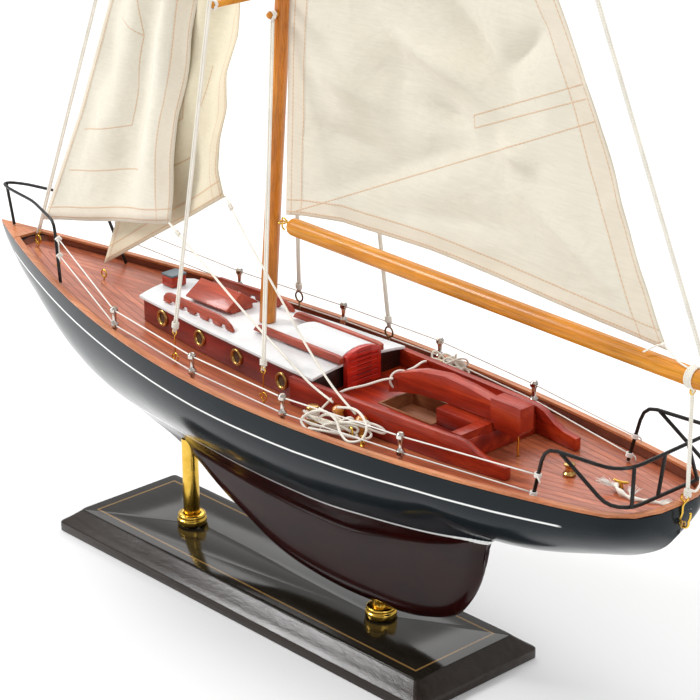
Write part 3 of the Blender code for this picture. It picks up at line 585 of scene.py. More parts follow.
def canvas(name, seams, hems, shade_warmth=(1.0, 1.0, 1.0)):
    """Unbleached sailcloth, hemmed with rows of orange thread.

    The edges attribute holds the distances to luff, foot and leech, and cut the flat
    pattern. Each seam is ((x0, z0), (x1, z1)) on the flat pattern; hems gives the rows of
    thread along luff, foot and leech, as distances from that edge; shade_warmth makes the
    cloth warmer in colour, painted shade for the warm light that comes through a sail in shade.
    """
    s = Shader(name, roughness=0.88, specular_ior_level=0.15, sheen_weight=0.2, sheen_roughness=0.6)
    edges = s.node("Attribute", attribute_name="edges").outputs["Vector"]
    cut = s.node("Attribute", attribute_name="cut").outputs["Vector"]
    luff, foot, leech = s.split(edges)
    x, _, z = s.split(cut)
    nearest = s.math("MINIMUM", s.math("MINIMUM", luff, foot), leech)
    bands = [s.grey(distance, rows[-1] + 0.8, rows[-1] + 1.2, 1.0, 0.0)
             for distance, rows in zip((luff, foot, leech), hems)]
    hem = s.math("MAXIMUM", s.math("MAXIMUM", bands[0], bands[1]), bands[2])

    def thread(distance, run):
        row = s.grey(s.distance(distance), 0.22, 0.42, 1.0, 0.0)
        dash = s.math("FRACT", s.over(run, 2.4))
        return s.times(row, s.grey(dash, 0.68, 0.76, 1.0, 0.35))

    rows = []
    inside = s.math("GREATER_THAN", nearest, 0.9)
    for distance, run, places in zip((luff, foot, leech), (z, x, z), hems):
        for place in places:
            rows.append(s.times(thread(s.minus(distance, place), run), inside))
    for (x0, z0), (x1, z1) in seams:
        length = math.hypot(x1 - x0, z1 - z0)
        ux, uz = (x1 - x0) / length, (z1 - z0) / length
        dx, dz = s.minus(x, x0), s.minus(z, z0)
        side = s.minus(s.times(dx, uz), s.times(dz, ux))
        run = s.add(s.times(dx, ux), s.times(dz, uz))
        here = s.times(s.math("GREATER_THAN", run, 0.0), s.math("LESS_THAN", run, length))
        rows.append(s.times(thread(side, run), here))
    stitch = rows[0]
    for row in rows[1:]:
        stitch = s.math("MAXIMUM", stitch, row)

    cloud = s.noise(s.place, 14.0, 4.0, 0.6)
    fleck = s.noise(s.place, 620.0, 2.0, 0.5)
    slub = s.noise(s.stretch((60, 900, 900)), 1.0, 3.0, 0.6)
    base = s.ramp(cloud, [(0.3, (0.72, 0.665, 0.54)), (0.7, (0.79, 0.745, 0.63))])
    base = s.shade(base, slub, 0.3, 0.7, 0.955, 1.03)
    speck = s.grey(fleck, 0.76, 0.8, 0.0, 0.5)
    base = s.blend(speck, base, (0.42, 0.31, 0.18))
    # Multiplied by a warm colour: painted shade, for the warm light that comes through a sail lying in shade.
    base = s.blend(1.0, base, (*shade_warmth, 1.0), "MULTIPLY")
    base = s.blend(s.times(hem, 0.2), base, (0.74, 0.57, 0.40))
    base = s.blend(s.times(stitch, 0.62), base, (0.68, 0.33, 0.12))
    s.colour(base)
    warp, weft = (s.math("SINE", s.times(run, 2 * math.pi / WEAVE)) for run in (x, z))
    s.bump(s.times(warp, weft), 0.03, 0.5)
    s.bump(slub, 0.06, 0.5)
    s.bump(s.noise(s.place, 170.0, 4.0, 0.6), 0.5, 0.5)
    s.bump(s.noise(s.place, 30.0, 3.0, 0.5, 0.8), 3.0, 0.55)
    s.bump(hem, 0.3, 0.8)
    s.bump(stitch, 0.25, 0.8)
    return s.material


SPAR = wood("honey_spar", (0.62, 0.215, 0.014), (0.72, 0.275, 0.020), (0.82, 0.35, 0.032), "x", 0.34, 0.15)
MAST_WOOD = wood("honey_mast", (0.50, 0.145, 0.013), (0.61, 0.20, 0.018), (0.72, 0.27, 0.030), "z",
                 0.32, 0.2, 3.0)
MAHOGANY = wood("mahogany", (0.19, 0.009, 0.003), (0.35, 0.022, 0.006), (0.51, 0.050, 0.011), "x",
                0.34, 0.1)
# The trunk's after end, aft of x 42.6, is painted nearly black as shade.
MAHOGANY_SIDE = wood("mahogany_side", (0.15, 0.010, 0.007), (0.23, 0.016, 0.010),
                     (0.31, 0.027, 0.015), "x", 0.3, 0.3, 5.0, shade_from=42.6)
MAHOGANY_LIGHT = wood("mahogany_light", (0.30, 0.038, 0.018), (0.42, 0.060, 0.027),
                      (0.54, 0.095, 0.040), "x", 0.36, 0.2, 9.0)
TILLER_WOOD = wood("tiller_wood", (0.28, 0.014, 0.004), (0.45, 0.033, 0.008), (0.60, 0.066, 0.014), "x",
                   0.36, 0.1, 2.0)
DOOR_WOOD = wood("door_wood", (0.42, 0.012, 0.007), (0.56, 0.022, 0.010), (0.66, 0.036, 0.015), "y",
                 0.3, 0.4, 4.0, louvre=2.6)
RAIL_WOOD = wood("rail_wood", (0.46, 0.145, 0.055), (0.58, 0.205, 0.082), (0.68, 0.27, 0.11), "x",
                 0.4, 0.15, 6.0)
BULWARK_WOOD = wood("bulwark_wood", (0.13, 0.032, 0.016), (0.20, 0.052, 0.025), (0.28, 0.08, 0.038),
                    "x", 0.34, 0.3, 3.5)
LINER_WOOD = wood("liner_wood", (0.20, 0.06, 0.024), (0.29, 0.10, 0.04), (0.38, 0.15, 0.062), "x",
                  0.45, 0.1, 1.0)
BLOCK_WOOD = wood("block_wood", (0.46, 0.14, 0.02), (0.62, 0.22, 0.035), (0.74, 0.31, 0.055), "z",
                  0.3, 0.4, 8.0)
DECK = deck_planks()
HULL = hull_paint()
LACQUER = plinth_lacquer()
WHITE = enamel("white_enamel", (0.73, 0.75, 0.76), (0.80, 0.815, 0.82), 0.4)
LID = enamel("slate_enamel", (0.085, 0.11, 0.125), (0.15, 0.185, 0.20), 0.38)
WIRE = enamel("black_enamel", (0.006, 0.005, 0.0045), (0.013, 0.0105, 0.009), 0.3, 200.0, 0.05, 0.3)
BRASS = metal("brass", (0.74, 0.43, 0.05), (0.88, 0.58, 0.11), 0.13)
OLD_BRASS = metal("aged_brass", (0.36, 0.20, 0.06), (0.66, 0.42, 0.14), 0.2, 0.12)
# Darker brass, used only for the starboard shroud eyes on the far side from the key light: painted shade.
SHADED_BRASS = metal("shaded_brass", (0.13, 0.075, 0.03), (0.30, 0.18, 0.08), 0.28, 0.15)
NICKEL = metal("nickel", (0.46, 0.42, 0.38), (0.74, 0.70, 0.66), 0.1)
COTTON = cotton("cotton_cord", (0.83, 0.79, 0.69), (0.91, 0.875, 0.79))
THREAD = cotton("cotton_thread", (0.83, 0.80, 0.74), (0.90, 0.88, 0.84), 1.1)

NODES_BY_FINISH = (
    (LACQUER, "stand_base"),
    (BRASS, "front_post rear_post front_collar rear_collar tiller_pin gooseneck_eye boom_hook"),
    (OLD_BRASS, "winch_port winch_starboard bollard"),
    (HULL, "hull"),
    (DECK, "deck"),
    (RAIL_WOOD, "bow_cap toe_rail_port toe_rail_starboard"),
    (MAHOGANY_SIDE, "cabin_trunk"),
    (WHITE, "cabin_roof sliding_hatch"),
    (MAHOGANY, "vent_box coaming_port coaming_starboard cockpit_sole helm_box aft_bar"),
    (LID, "vent_lid"),
    (MAHOGANY_LIGHT, "skylight grab_rail_port grab_rail_starboard hatch_rail_port hatch_rail_starboard"),
    (DOOR_WOOD, "companionway_door"),
    (LINER_WOOD, "well_liner"),
    (TILLER_WOOD, "tiller"),
    (MAST_WOOD, "mast"),
    (SPAR, "spreader mast_pin boom"),
    (WIRE, "pulpit pushpit"),
)
FINISH = {name: finish for finish, names in NODES_BY_FINISH for name in names.split()}


def dress_cad():
    """Gives each CAD node its finish, smooth curves and slightly broken edges."""
    for name, node in cad.items():
        finish = FINISH.get(name) or (NICKEL if name.startswith("stanchion") else COTTON)
        node.data.materials.clear()
        node.data.materials.append(finish)
        if node.data.attributes.get("custom_normal"):
            node.data.attributes.remove(node.data.attributes["custom_normal"])
        for face in node.data.polygons:
            face.use_smooth = True
        weld = node.modifiers.new("weld", "WELD")
        weld.merge_threshold = 0.01 * MM
        if finish in (HULL, DECK):
            angle = 40
        else:
            angle = 35
            bevel = node.modifiers.new("soft_edge", "BEVEL")
            bevel.width = EDGE_BREAK * MM
            bevel.segments = 2
            bevel.limit_method = "ANGLE"
            bevel.angle_limit = math.radians(38)
        split = node.modifiers.new("crisp", "EDGE_SPLIT")
        split.split_angle = math.radians(angle)


# ---------------------------------------------------------------- mesh pieces

def add_object(name, data):
    obj = bpy.data.objects.new(name, data)
    bpy.context.scene.collection.objects.link(obj)
    return obj


def piece(name, corners, faces, finish, body="hull", sharp=40, uv=None):
    """A closed mesh of corners in millimetres that rides on a body."""
    mesh = bpy.data.meshes.new(name)
    mesh.from_pydata([tuple(Vector(c) * MM) for c in corners], [], faces)
    if uv:
        layer = mesh.uv_layers.new(name="run")
        flat = [value for face in uv for value in face]
        for loop, value in zip(layer.data, flat):
            loop.uv = value
    mesh.materials.append(finish)
    for face in mesh.polygons:
        face.use_smooth = True
    mesh.update()
    if not uv:
        build = bmesh.new()
        build.from_mesh(mesh)
        bmesh.ops.remove_doubles(build, verts=build.verts, dist=0.002 * MM)
        bmesh.ops.recalc_face_normals(build, faces=build.faces)
        build.to_mesh(mesh)
        build.free()
    if sharp:
        mesh.set_sharp_from_angle(angle=math.radians(sharp))
    obj = add_object(name, mesh)
    if body:
        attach(obj, body)
    return obj


def turn_to(axis):
    """Rotation that takes the vertical to an axis."""
    return Vector((0, 0, 1)).rotation_difference(Vector(axis)).to_matrix()


def circle(radius, sides):
    angles = [2 * math.pi * k / sides for k in range(sides)]
    return [(radius * math.cos(a), radius * math.sin(a)) for a in angles]


def ring_faces(rings, sides):
    """Faces between rings of corners that lie one after another."""
    return [(a + j, a + (j + 1) % sides, a + sides + (j + 1) % sides, a + sides + j)
            for a in range(0, (rings - 1) * sides, sides) for j in range(sides)]


def tube(name, line, radius, sides, finish, body="hull"):
    """Round wire or cord along a line; radius may be a list, one for each point."""
    rows = []
    for point in line:
        point = Vector(point)
        if not rows or (point - rows[-1]).length > 0.01:
            rows.append(point)
    count = len(rows)
    widths = radius if isinstance(radius, list) else [radius] * count
    side = (rows[1] - rows[0]).normalized().orthogonal().normalized()
    corners = []
    lengths = []
    for i, point in enumerate(rows):
        back, front = rows[max(i - 1, 0)], rows[min(i + 1, count - 1)]
        turn = ((point - back).normalized() + (front - point).normalized()).normalized()
        side = (side - turn * side.dot(turn)).normalized()
        other = turn.cross(side)
        corners += [point + side * a + other * b for a, b in circle(widths[i], sides)]
        lengths.append(lengths[-1] + (point - back).length if i else 0.0)
    faces = ring_faces(count, sides)
    uv = []
    for v0, v1 in zip(lengths, lengths[1:]):
        for j in range(sides):
            u0, u1 = j / sides, (j + 1) / sides
            uv.append(((u0, v0), (u1, v0), (u1, v1), (u0, v1)))
    last = (count - 1) * sides
    faces += [tuple(reversed(range(sides))), tuple(range(last, last + sides))]
    uv += [[(j / sides, lengths[end]) for j in range(sides)] for end in (0, -1)]
    return piece(name, corners, faces, finish, body, 0, uv)


def turned(name, profile, centre, sides, finish, body="hull", axis=(0, 0, 1), sharp=35):
    """Turned piece: profile rows are (radius, height along the axis), closed at both ends."""
    turn = turn_to(axis)
    corners = []
    for radius, height in profile:
        for a, b in circle(max(radius, 0.0), sides):
            corners.append(Vector(centre) + turn @ Vector((a, b, height)))
    faces = ring_faces(len(profile), sides)
    if profile[0][0] > 0:
        faces.append(tuple(reversed(range(sides))))
    if profile[-1][0] > 0:
        faces.append(tuple(range((len(profile) - 1) * sides, len(profile) * sides)))
    if profile[0][0] <= 0 or profile[-1][0] <= 0:
        faces = [f for f in faces if len(set(tuple(corners[i]) for i in f)) > 2]
    return piece(name, corners, faces, finish, body, sharp)


def ring_line(centre, radius, normal, start=0.0, sweep=360.0, parts=20):
    """Points round part of a circle."""
    turn = turn_to(normal)
    line = []
    for k in range(parts + 1):
        angle = math.radians(start + sweep * k / parts)
        line.append(Vector(centre) + turn @ Vector((radius * math.cos(angle), radius * math.sin(angle), 0)))
    return line


# ---------------------------------------------------------------- camera and light

def add_camera():
    azimuth = math.radians(CAMERA_AZIMUTH)
    elevation = math.radians(CAMERA_ELEVATION)
    roll = math.radians(CAMERA_ROLL)
    back = Vector((math.sin(azimuth) * math.cos(elevation),
                   -math.cos(azimuth) * math.cos(elevation), math.sin(elevation)))
    right = Vector((math.cos(azimuth), math.sin(azimuth), 0))
    up = back.cross(right)
    x_axis = right * math.cos(roll) + up * math.sin(roll)
    y_axis = up * math.cos(roll) - right * math.sin(roll)
    data = bpy.data.cameras.new("camera")
    data.lens = CAMERA_LENS
    data.sensor_width = CAMERA_SENSOR
    data.clip_start = 0.05
    camera = add_object("camera", data)
    camera.matrix_world = Matrix.Translation(CAMERA_PLACE) @ Matrix(
        (x_axis, y_axis, back)).transposed().to_4x4()
    bpy.context.scene.camera = camera


def add_light(name, place, target, size, power):
    data = bpy.data.lights.new(name, "AREA")
    data.shape = "RECTANGLE"
    data.size, data.size_y = size
    data.energy = power
    light = add_object(name, data)
    light.location = place
    aim = Vector(target) - Vector(place)
    light.rotation_euler = aim.to_track_quat("-Z", "Y").to_euler()


def add_studio():
    scene = bpy.context.scene
    scene.view_settings.view_transform = "Standard"
    world = bpy.data.worlds.new("studio")
    scene.world = world
    world.use_nodes = True
    background = world.node_tree.nodes["Background"]
    background.inputs["Color"].default_value = (1.0, 1.0, 1.0, 1.0)
    background.inputs["Strength"].default_value = 0.52
    add_light("key", (-1.6, -1.15, 1.9), (0.0, 0.0, 0.25), (0.7, 0.7), 42)
    add_light("top", (0.2, 0.3, 2.2), (0.0, 0.0, 0.1), (1.6, 1.6), 20)
    add_light("backdrop", (-1.7, 1.5, 1.9), (-1.5, 1.4, 0.0), (2.2, 2.2), 30)
    add_light("fill", (2.0, -0.4, 1.0), (0.0, 0.0, 0.2), (1.0, 1.4), 8.5)

    mesh = bpy.data.meshes.new("floor")
    mesh.from_pydata([(6, 6, 0), (-6, 6, 0), (-6, -6, 0), (6, -6, 0)], [], [(0, 1, 2, 3)])
    s = Shader("pale_floor", roughness=0.85, specular_ior_level=0.1)
    s.colour(s.ramp(s.noise(s.place, 3.0, 2.0), [(0.3, (0.90, 0.90, 0.90)), (0.7, (0.93, 0.93, 0.93))]))
    mesh.materials.append(s.material)
    floor = add_object("floor", mesh)
    floor.location = (0, 0, -0.2 * MM)


# ---------------------------------------------------------------- hull skin

def plan_outline():
    """Starboard edge of the hull at the rail, from stem to stern."""
    line = [(x, half_beam(x)) for x in (lerp(BOW_X, STERN_ROUND_X, k / 240) for k in range(241))]
    for k in range(1, 25):
        end = math.sin(math.pi / 2 * k / 24) ** (2 / 3)
        x = lerp(STERN_ROUND_X, STERN_X, end)
        line.append((x, half_beam(x) if k < 24 else 0.0))
    return line


def distance_to(line, x, z):
    best = 1e9
    for (ax, az), (bx, bz) in zip(line, line[1:]):
        dx, dz = bx - ax, bz - az
        t = clamp(((x - ax) * dx + (z - az) * dz) / (dx * dx + dz * dz))
        best = min(best, math.hypot(x - ax - t * dx, z - az - t * dz))
    return best


def add_hull_skin():
    """The hull as one fine fair surface, with a wood-lined recess for the deck."""
    keel = even_rows(flat_curve(KEEL_LINE), HULL_COLUMNS)
    near_keel = even_rows(keel, 90)
    bilge, fin_line, hollow = flat_curve(BILGE_LINE), flat_curve(FIN_HALF), flat_curve(HOLLOW)
    sheer = even_rows(plan_outline(), HULL_COLUMNS)
    corners = []
    for i, ((kx, kz), (sx, sy)) in enumerate(zip(keel, sheer)):
        seat = rail_z(sx) - RAIL_SEAT
        ends = i in (0, HULL_COLUMNS)
        for j in range(HULL_ROWS + 1):
            t = (j / HULL_ROWS) ** 1.2
            x, z = lerp(kx, sx, t), lerp(kz, seat, t)
            low = table(bilge, x)
            high = rail_z(x) - RAIL_SEAT
            up = clamp((z - low) / (high - low))
            body = half_beam(x) * (1 - (1 - up) ** 2.4) ** table(hollow, x)
            near = min(1.0, distance_to(near_keel, x, z) / FIN_ROUND)
            fin = table(fin_line, x) * math.sqrt(1 - (1 - near) ** 2) * (1 - up)
            y = (body ** 3 + fin ** 3) ** (1 / 3)
            if j == 0 or ends:
                y = 0.0
            if j == HULL_ROWS:
                y = sy
            corners.append((x, y, z))
        ax, ay = sheer[max(i - 1, 0)]
        bx, by = sheer[min(i + 1, HULL_COLUMNS)]
        length = math.hypot(bx - ax, by - ay)
        inner = (sx + BULWARK * (by - ay) / length, sy - BULWARK * (bx - ax) / length)
        if i == HULL_COLUMNS or inner[1] < 0:
            inner = (STERN_X - BULWARK, 0.0)
        if sx < RECESS_START:
            corners += [(sx, 0.0, seat)] * 2
        else:
            corners += [(*inner, seat), (*inner, deck_z(sx) - RECESS_BELOW_DECK)]
    step = HULL_ROWS + 3
    half = len(corners)
    corners += [(x, -y, z) for x, y, z in corners]
    faces = []
    lined = []
    for i in range(HULL_COLUMNS):
        a = i * step
        b = a + step
        for j in range(step - 1):
            for quad in ((a + j, b + j, b + j + 1, a + j + 1),
                         (half + a + j, half + a + j + 1, half + b + j + 1, half + b + j)):
                faces.append(quad)
                lined.append(j == step - 2)
        top, after = a + step - 1, b + step - 1
        faces.append((top, after, half + after, half + top))
        lined.append(True)
    build = bmesh.new()
    verts = [build.verts.new(Vector(c) * MM) for c in corners]
    for quad, inside in zip(faces, lined):
        face = build.faces.new([verts[k] for k in quad])
        face.material_index = 1 if inside else 0
        face.smooth = True
    bmesh.ops.remove_doubles(build, verts=build.verts, dist=0.004 * MM)
    bmesh.ops.dissolve_degenerate(build, edges=build.edges, dist=0.002 * MM)
    bmesh.ops.recalc_face_normals(build, faces=build.faces)
    mesh = bpy.data.meshes.new("hull_skin")
    build.to_mesh(mesh)
    build.free()
    mesh.materials.append(HULL)
    mesh.materials.append(BULWARK_WOOD)
    mesh.set_sharp_from_angle(angle=math.radians(50))
    skin = add_object("hull_skin", mesh)
    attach(skin, "hull")
    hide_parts("hull")


# ---------------------------------------------------------------- rigging cords

def cord(name, line, diameter, body="hull", sides=8, finish=None,
         widths=None, stands_for=None, between=None):
    """Cord along a line.

    stands_for is the CAD node that it replaces. When between is given, the cord rides on no
    body and its place is baked into the mesh; the start and end that between holds are not used.
    """
    obj = tube(name, line, widths or diameter / 2, sides, finish or COTTON, None if between else body)
    if stands_for:
        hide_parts(stands_for)
    if between:
        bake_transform(obj)


def hairpin(points, across, apart=STRAND_GAP):
    """Line of a cord laid double: up one side of the route, over the end and back down."""
    side = Vector(across) * apart
    rows = [Vector(p) for p in points]
    heading = (rows[-1] - rows[-2]).normalized()
    line = [p + side for p in rows]
    line += [rows[-1] + side * 0.7 + heading * 0.6, rows[-1] + heading * 0.85,
             rows[-1] - side * 0.7 + heading * 0.6]
    line += [p - side for p in reversed(rows)]
    return line


def fine(line, step=8.0):
    """The same line with a point at least every step millimetres."""
    rows = [Vector(p) for p in line]
    out = [rows[0]]
    for a, b in zip(rows, rows[1:]):
        parts = max(1, math.ceil((b - a).length / step))
        out += [a.lerp(b, k / parts) for k in range(1, parts + 1)]
    return out


def double_cord(name, points, across, body="hull"):
    cord(name + "_cord", fine(hairpin(points, across)), CORD, body, sides=10, stands_for=name)


def seizing(name, centre, heading, radius, turns, body="hull", finish=None, diameter=0.7):
    """Turns of thin cord wound tightly round something."""
    turn = turn_to(heading)
    parts = 14
    line = []
    for k in range(turns * parts + 1):
        angle = 2 * math.pi * k / parts
        height = (k / parts - turns / 2) * diameter
        around = Vector((radius * math.cos(angle), radius * math.sin(angle), height))
        line.append(Vector(centre) + turn @ around)
    return tube(name, line, diameter / 2, 8, finish or THREAD, body)


def add_standing_rigging():
    head_x = mast_x(HEAD_Z)
    for side, name, tall, short in ((-1, "port", "fore", "aft"), (1, "starboard", "aft", "fore")):
        x, y = CHAINS[tall]
        outer = [(x, side * y, deck_z(x) + HOOK_DROP),
                 (mast_x(SPREADER_Z) - 0.4, side * (SPREADER_HALF + 1.2), SPREADER_Z),
                 (head_x, side * 5.2, HEAD_Z)]
        x, y = CHAINS[short]
        inner = [(x, side * y, deck_z(x) + HOOK_DROP),
                 (mast_x(MAST_PIN_Z), side * 7.2, MAST_PIN_Z - 3.6)]
        double_cord("%s_shroud_%s" % (tall, name), outer, (1, 0, 0))
        double_cord("%s_shroud_%s" % (short, name), inner, (1, 0, 0))
        seizing("spreader_lashing_" + name, (mast_x(SPREADER_Z), side * (SPREADER_HALF - 1.6), SPREADER_Z),
                (0, 1, 0), 2.3, 3)
        seizing("pin_lashing_" + name, (mast_x(MAST_PIN_Z), side * 7.4, MAST_PIN_Z), (0, 1, 0), 2.3, 4)
        for route, place in ((outer, tall), (inner, short)):
            foot = Vector(route[0])
            heading = (Vector(route[1]) - foot).normalized()
            seizing("shroud_seizing_%s_%s" % (place, name), foot + heading * 4.5, heading, 1.75, 5,
                    finish=COTTON)
    double_cord("forestay", [(-246.5, 0, 164), (head_x - 5.4, 0, HEAD_Z + 3)], (0, 1, 0))
    double_cord("topping_lift", [(279, 0, 226.6), (head_x + 5.4, 0, HEAD_Z)], (0, 1, 0), "boom")
    seizing("masthead_lashing", (head_x, 0, HEAD_Z + 0.5), (RAKE, 0, 1), 4.35, 7, finish=COTTON)
    for name, head, z in (("jib_halyard", (-3.4, 0, 688), 738), ("staysail_halyard", (-20.6, 0, 508), 560)):
        cord(name, fine([head, (mast_x(z) - mast_radius(z) - 0.5, 0, z)], 12.0), LINE)
        seizing(name + "_turns", (mast_x(z), 0, z), (RAKE, 0, 1), mast_radius(z) + 0.4, 4, finish=COTTON)

    line = fine(hairpin([(272.4, 0, 158), (272.2, 0, 212.6)], (0, 1, 0), 0.62), 3.0)
    cord("mainsheet_cord", line, CORD, "boom", sides=10, stands_for="mainsheet",
         between=((0.2724, 0, 0.158), (0.2722, 0, 0.2126)))
    seizing("mainsheet_band", (272.6, 0, boom_z(272.6)), (1, 0, -0.02), 5.35, 5, "boom", COTTON, 0.9)
    seizing("mainsheet_knot", (272.4, 0, 160.6), (0, 0, 1), 1.5, 4, finish=COTTON, diameter=0.9)
    tail = smooth([(272.6, 1.6, 161.6), (273.4, 4.4, 160.2), (272.8, 8.4, 161.6), (270.4, 12.0, 163.4),
                   (268.0, 15.4, 163.0), (266.8, 18.6, 160.4), (265.4, 21.6, 158.6), (262.6, 25.0, 158.4),
                   (258.6, 28.0, 157.2)], 5)
    cord("mainsheet_tail", tail, 1.24)


def leg_place(side, z):
    """Centre of the aft rail's foremost leg at height z, and the way it points."""
    rise = (z - 146.6) / 29.7
    if side < 0:
        return (205.0 + 7.4 * rise, -35.0 - 0.2 * rise, z), (0.245, 0, 0.97)
    return (207.2 + 6.8 * rise, 33.4 + 3.0 * rise, z), (0.22, 0.1, 0.97)


def add_lifelines():
    for side, name in SIDES:
        shift = 0.0 if side < 0 else 1.8
        balls = [[(x, side * y, deck_z(x) + h) for x, y in STANCHIONS] for h in (HIGH_BALL, LOW_BALL)]
        ends = [
            ((206.4 + shift, side * 35.2, 159.6), (-194.5, side * 22.4, 178)),
            ((203.7 + shift, side * 34.8, 148.9), (-193.0, side * 23.2, 168)),
        ]
        line = [ends[0][0]] + balls[0][::-1] + [ends[0][1], ends[1][1]] + balls[1] + [ends[1][0]]
        cord("lifeline_cord_" + name, fine(line, 12.0), LINE, finish=THREAD, stands_for="lifeline_" + name)
        knots = [leg_place(side, 159.6), leg_place(side, 148.9)]
        knots += [(ends[0][1], (-0.4, side * 0.5, 0.76)), (ends[1][1], (-0.4, side * 0.5, 0.76))]
        for k, (centre, wire) in enumerate(knots):
            seizing("lifeline_knot_%s_%d" % (name, k + 1), centre, wire, 1.5, 3, finish=THREAD, diameter=0.85)
            x, y, z = centre
            stub = smooth([(x + 0.6, y + side * 1.2, z), (x + 2.2, y + side * 1.8, z - 1.0),
                           (x + 3.0, y + side * 1.6, z - 3.0)], 4)
            tube("lifeline_stub_%s_%d" % (name, k + 1), stub, [LINE * 0.55] * (len(stub) - 1) + [LINE * 0.3],
                 6, THREAD)


def add_running_rigging():
    """Headsail sheets and the blocks they lead to."""
    jib = smooth([(-95.4, -16, 210.4), (-60, -21.6, 197.2), (-20, -28.0, 182.4), (20, -33.6, 168.6),
                  (50, -38.0, 159.4), (66.4, -39.4, 156.0)], 8)
    cord("jib_sheet", jib, CORD, sides=10)
    stay = smooth([(-52.5, -10, 235.2), (-28, -16, 218.2), (6, -23.5, 196.6), (40, -31.5, 175.0),
                   (66, -37.0, 161.8), (84.4, -40.0, 155.0)], 8)
    cord("staysail_sheet", stay, CORD, sides=10)
    for name, line in (("jib", jib), ("staysail", stay)):
        a, b = Vector(line[0]), Vector(line[6])
        seizing(name + "_clew_knot", a.lerp(b, 0.35), (b - a).normalized(), 1.0, 4, finish=COTTON,
                diameter=0.9)
    for k, (x, y) in enumerate(((69.8, -38.8), (88.2, -39.4))):
        deck = deck_z(x)
        turned("deck_block_%d" % (k + 1), [
            (0, 0.1), (2.4, 0.1), (2.6, 1.2), (1.8, 2.2), (2.0, 3.8), (3.0, 4.8), (3.2, 6.0), (2.7, 7.0),
            (2.7, 8.2), (3.2, 9.2), (3.0, 10.4), (2.0, 11.4), (0, 11.7)],
            (x, y, deck), 24, BLOCK_WOOD)


def coil_line(centre, radii, turns, height, wander, seed, floor, wall):
    """Loose loops of cord laid over each other, inside the rail at half breadth wall."""
    line = []
    count = turns * 22
    for k in range(count + 1):
        t = k / count
        angle = 2 * math.pi * turns * t
        shake = wobble(t * turns * 0.9, seed, 0.3)
        grow = 1.0 + 0.32 * math.sin(1.7 * angle / 3 + seed)
        x = centre[0] + radii[0] * grow * math.cos(angle) + wander * 2.2 * shake.x
        y = centre[1] + radii[1] * grow * math.sin(angle * 1.04 + 0.4) + wander * 1.2 * shake.y
        y = max(-wall, min(wall, y))
        z = floor + 0.7 + height * (0.15 + 0.75 * t) * (0.75 + 0.25 * math.sin(2.3 * angle + seed))
        z += wander * 0.5 * shake.z * t
        line.append((x, y, max(z, floor + 0.7)))
    return line


def add_coils():
    floor = deck_z(78)
    loops = coil_line((79, -47.5), (13.0, 6.6), 7, 12.5, 6.0, 2.2, floor, 57.5)
    line = smooth([(61.4, -45.0, floor + 9.5)] + loops[6:], 2)
    cord("port_coil", line, 1.44)
    loop = smooth([(72.6, -42.0, 155.8), (84, -41.0, 158.0), (94, -43.6, 157.0), (100.5, -47.4, 153.4),
                   (101.5, -52.0, 149.6), (96, -55.4, 147.6), (88, -54.0, 149.4), (80, -50.0, 153.2),
                   (72, -50.5, 155.8), (65, -54.0, 154.2), (61, -57.0, 149.4), (66, -58.0, 146.2),
                   (74, -56.0, 146.4)], 6)
    cord("port_loop", loop, 1.44)
    floor = deck_z(66)
    loops = coil_line((61.5, 50.5), (7.6, 4.6), 9, 14.0, 3.0, 4.2, floor + 1.0, 57.0)
    line = smooth([(58.4, 43.6, floor + 8.5)] + loops[5:], 2)
    cord("starboard_coil", line, 1.24)


def add_tiller_lashing():
    """One cord holds the tiller amidships: a slanting turn round it, and a leg to each winch."""
    wrap = []
    for k in range(31):
        angle = math.radians(-70 + 14 * k)
        wrap.append((76.5 - 3.2 * math.sin(angle), 4.3 * math.cos(angle + math.pi / 2),
                     160.4 + 5.4 * math.sin(angle + math.pi / 2)))
    tube("tiller_turns", wrap, CORD / 2, 8, COTTON, "tiller")
    for side, name in SIDES:
        x, y = WINCH
        foot = deck_z(x)
        points = [(x + 1.6, side * (y - 2.6), foot + 6.6), (63.5, side * 32, 158.4), (69.0, side * 18, 160.4),
                  (74.0, side * 6.0, 162.0), (75.6, side * 4.3, 162.2)]
        cord("tiller_leg_" + name, smooth(points, 7), CORD, "tiller",
             between=((0.058, side * 0.034, 0.16), (0.0735, side * 0.0055, 0.16)))
        seizing("winch_turns_" + name, (x, side * y, foot + 5.2), (0, 0, 1), 3.2, 4, finish=COTTON,
                diameter=1.1)


def strands(name, start, heading, count, length, spread):
    """Brush of loose fibres at a cut cord end, as one mesh."""
    corners, faces = [], []
    heading = Vector(heading).normalized()
    for k in range(count):
        shake = wobble(k * 1.7, 3.1, 0.4)
        reach = length * (0.65 + 0.35 * ripple(k * 2.3, 0.2, 1.1) + 0.2)
        side = heading.orthogonal().normalized() * 0.24
        other = heading.cross(side)
        rows = []
        for i in range(6):
            t = i / 5
            bow = Vector((shake.x, shake.y, abs(shake.z) * 0.5)) * spread * t ** 1.3
            rows.append(Vector(start) + heading * reach * t + bow)
        first = len(corners)
        for i, point in enumerate(rows):
            thin = 1.0 - 0.6 * i / 5
            corners += [point + way * thin for way in (side, other, -side, -other)]
        faces += [tuple(first + k for k in face) for face in ring_faces(6, 4)]
        faces.append((first + 3, first + 2, first + 1, first))
        faces.append((first + 20, first + 21, first + 22, first + 23))
    return piece(name, corners, faces, THREAD)


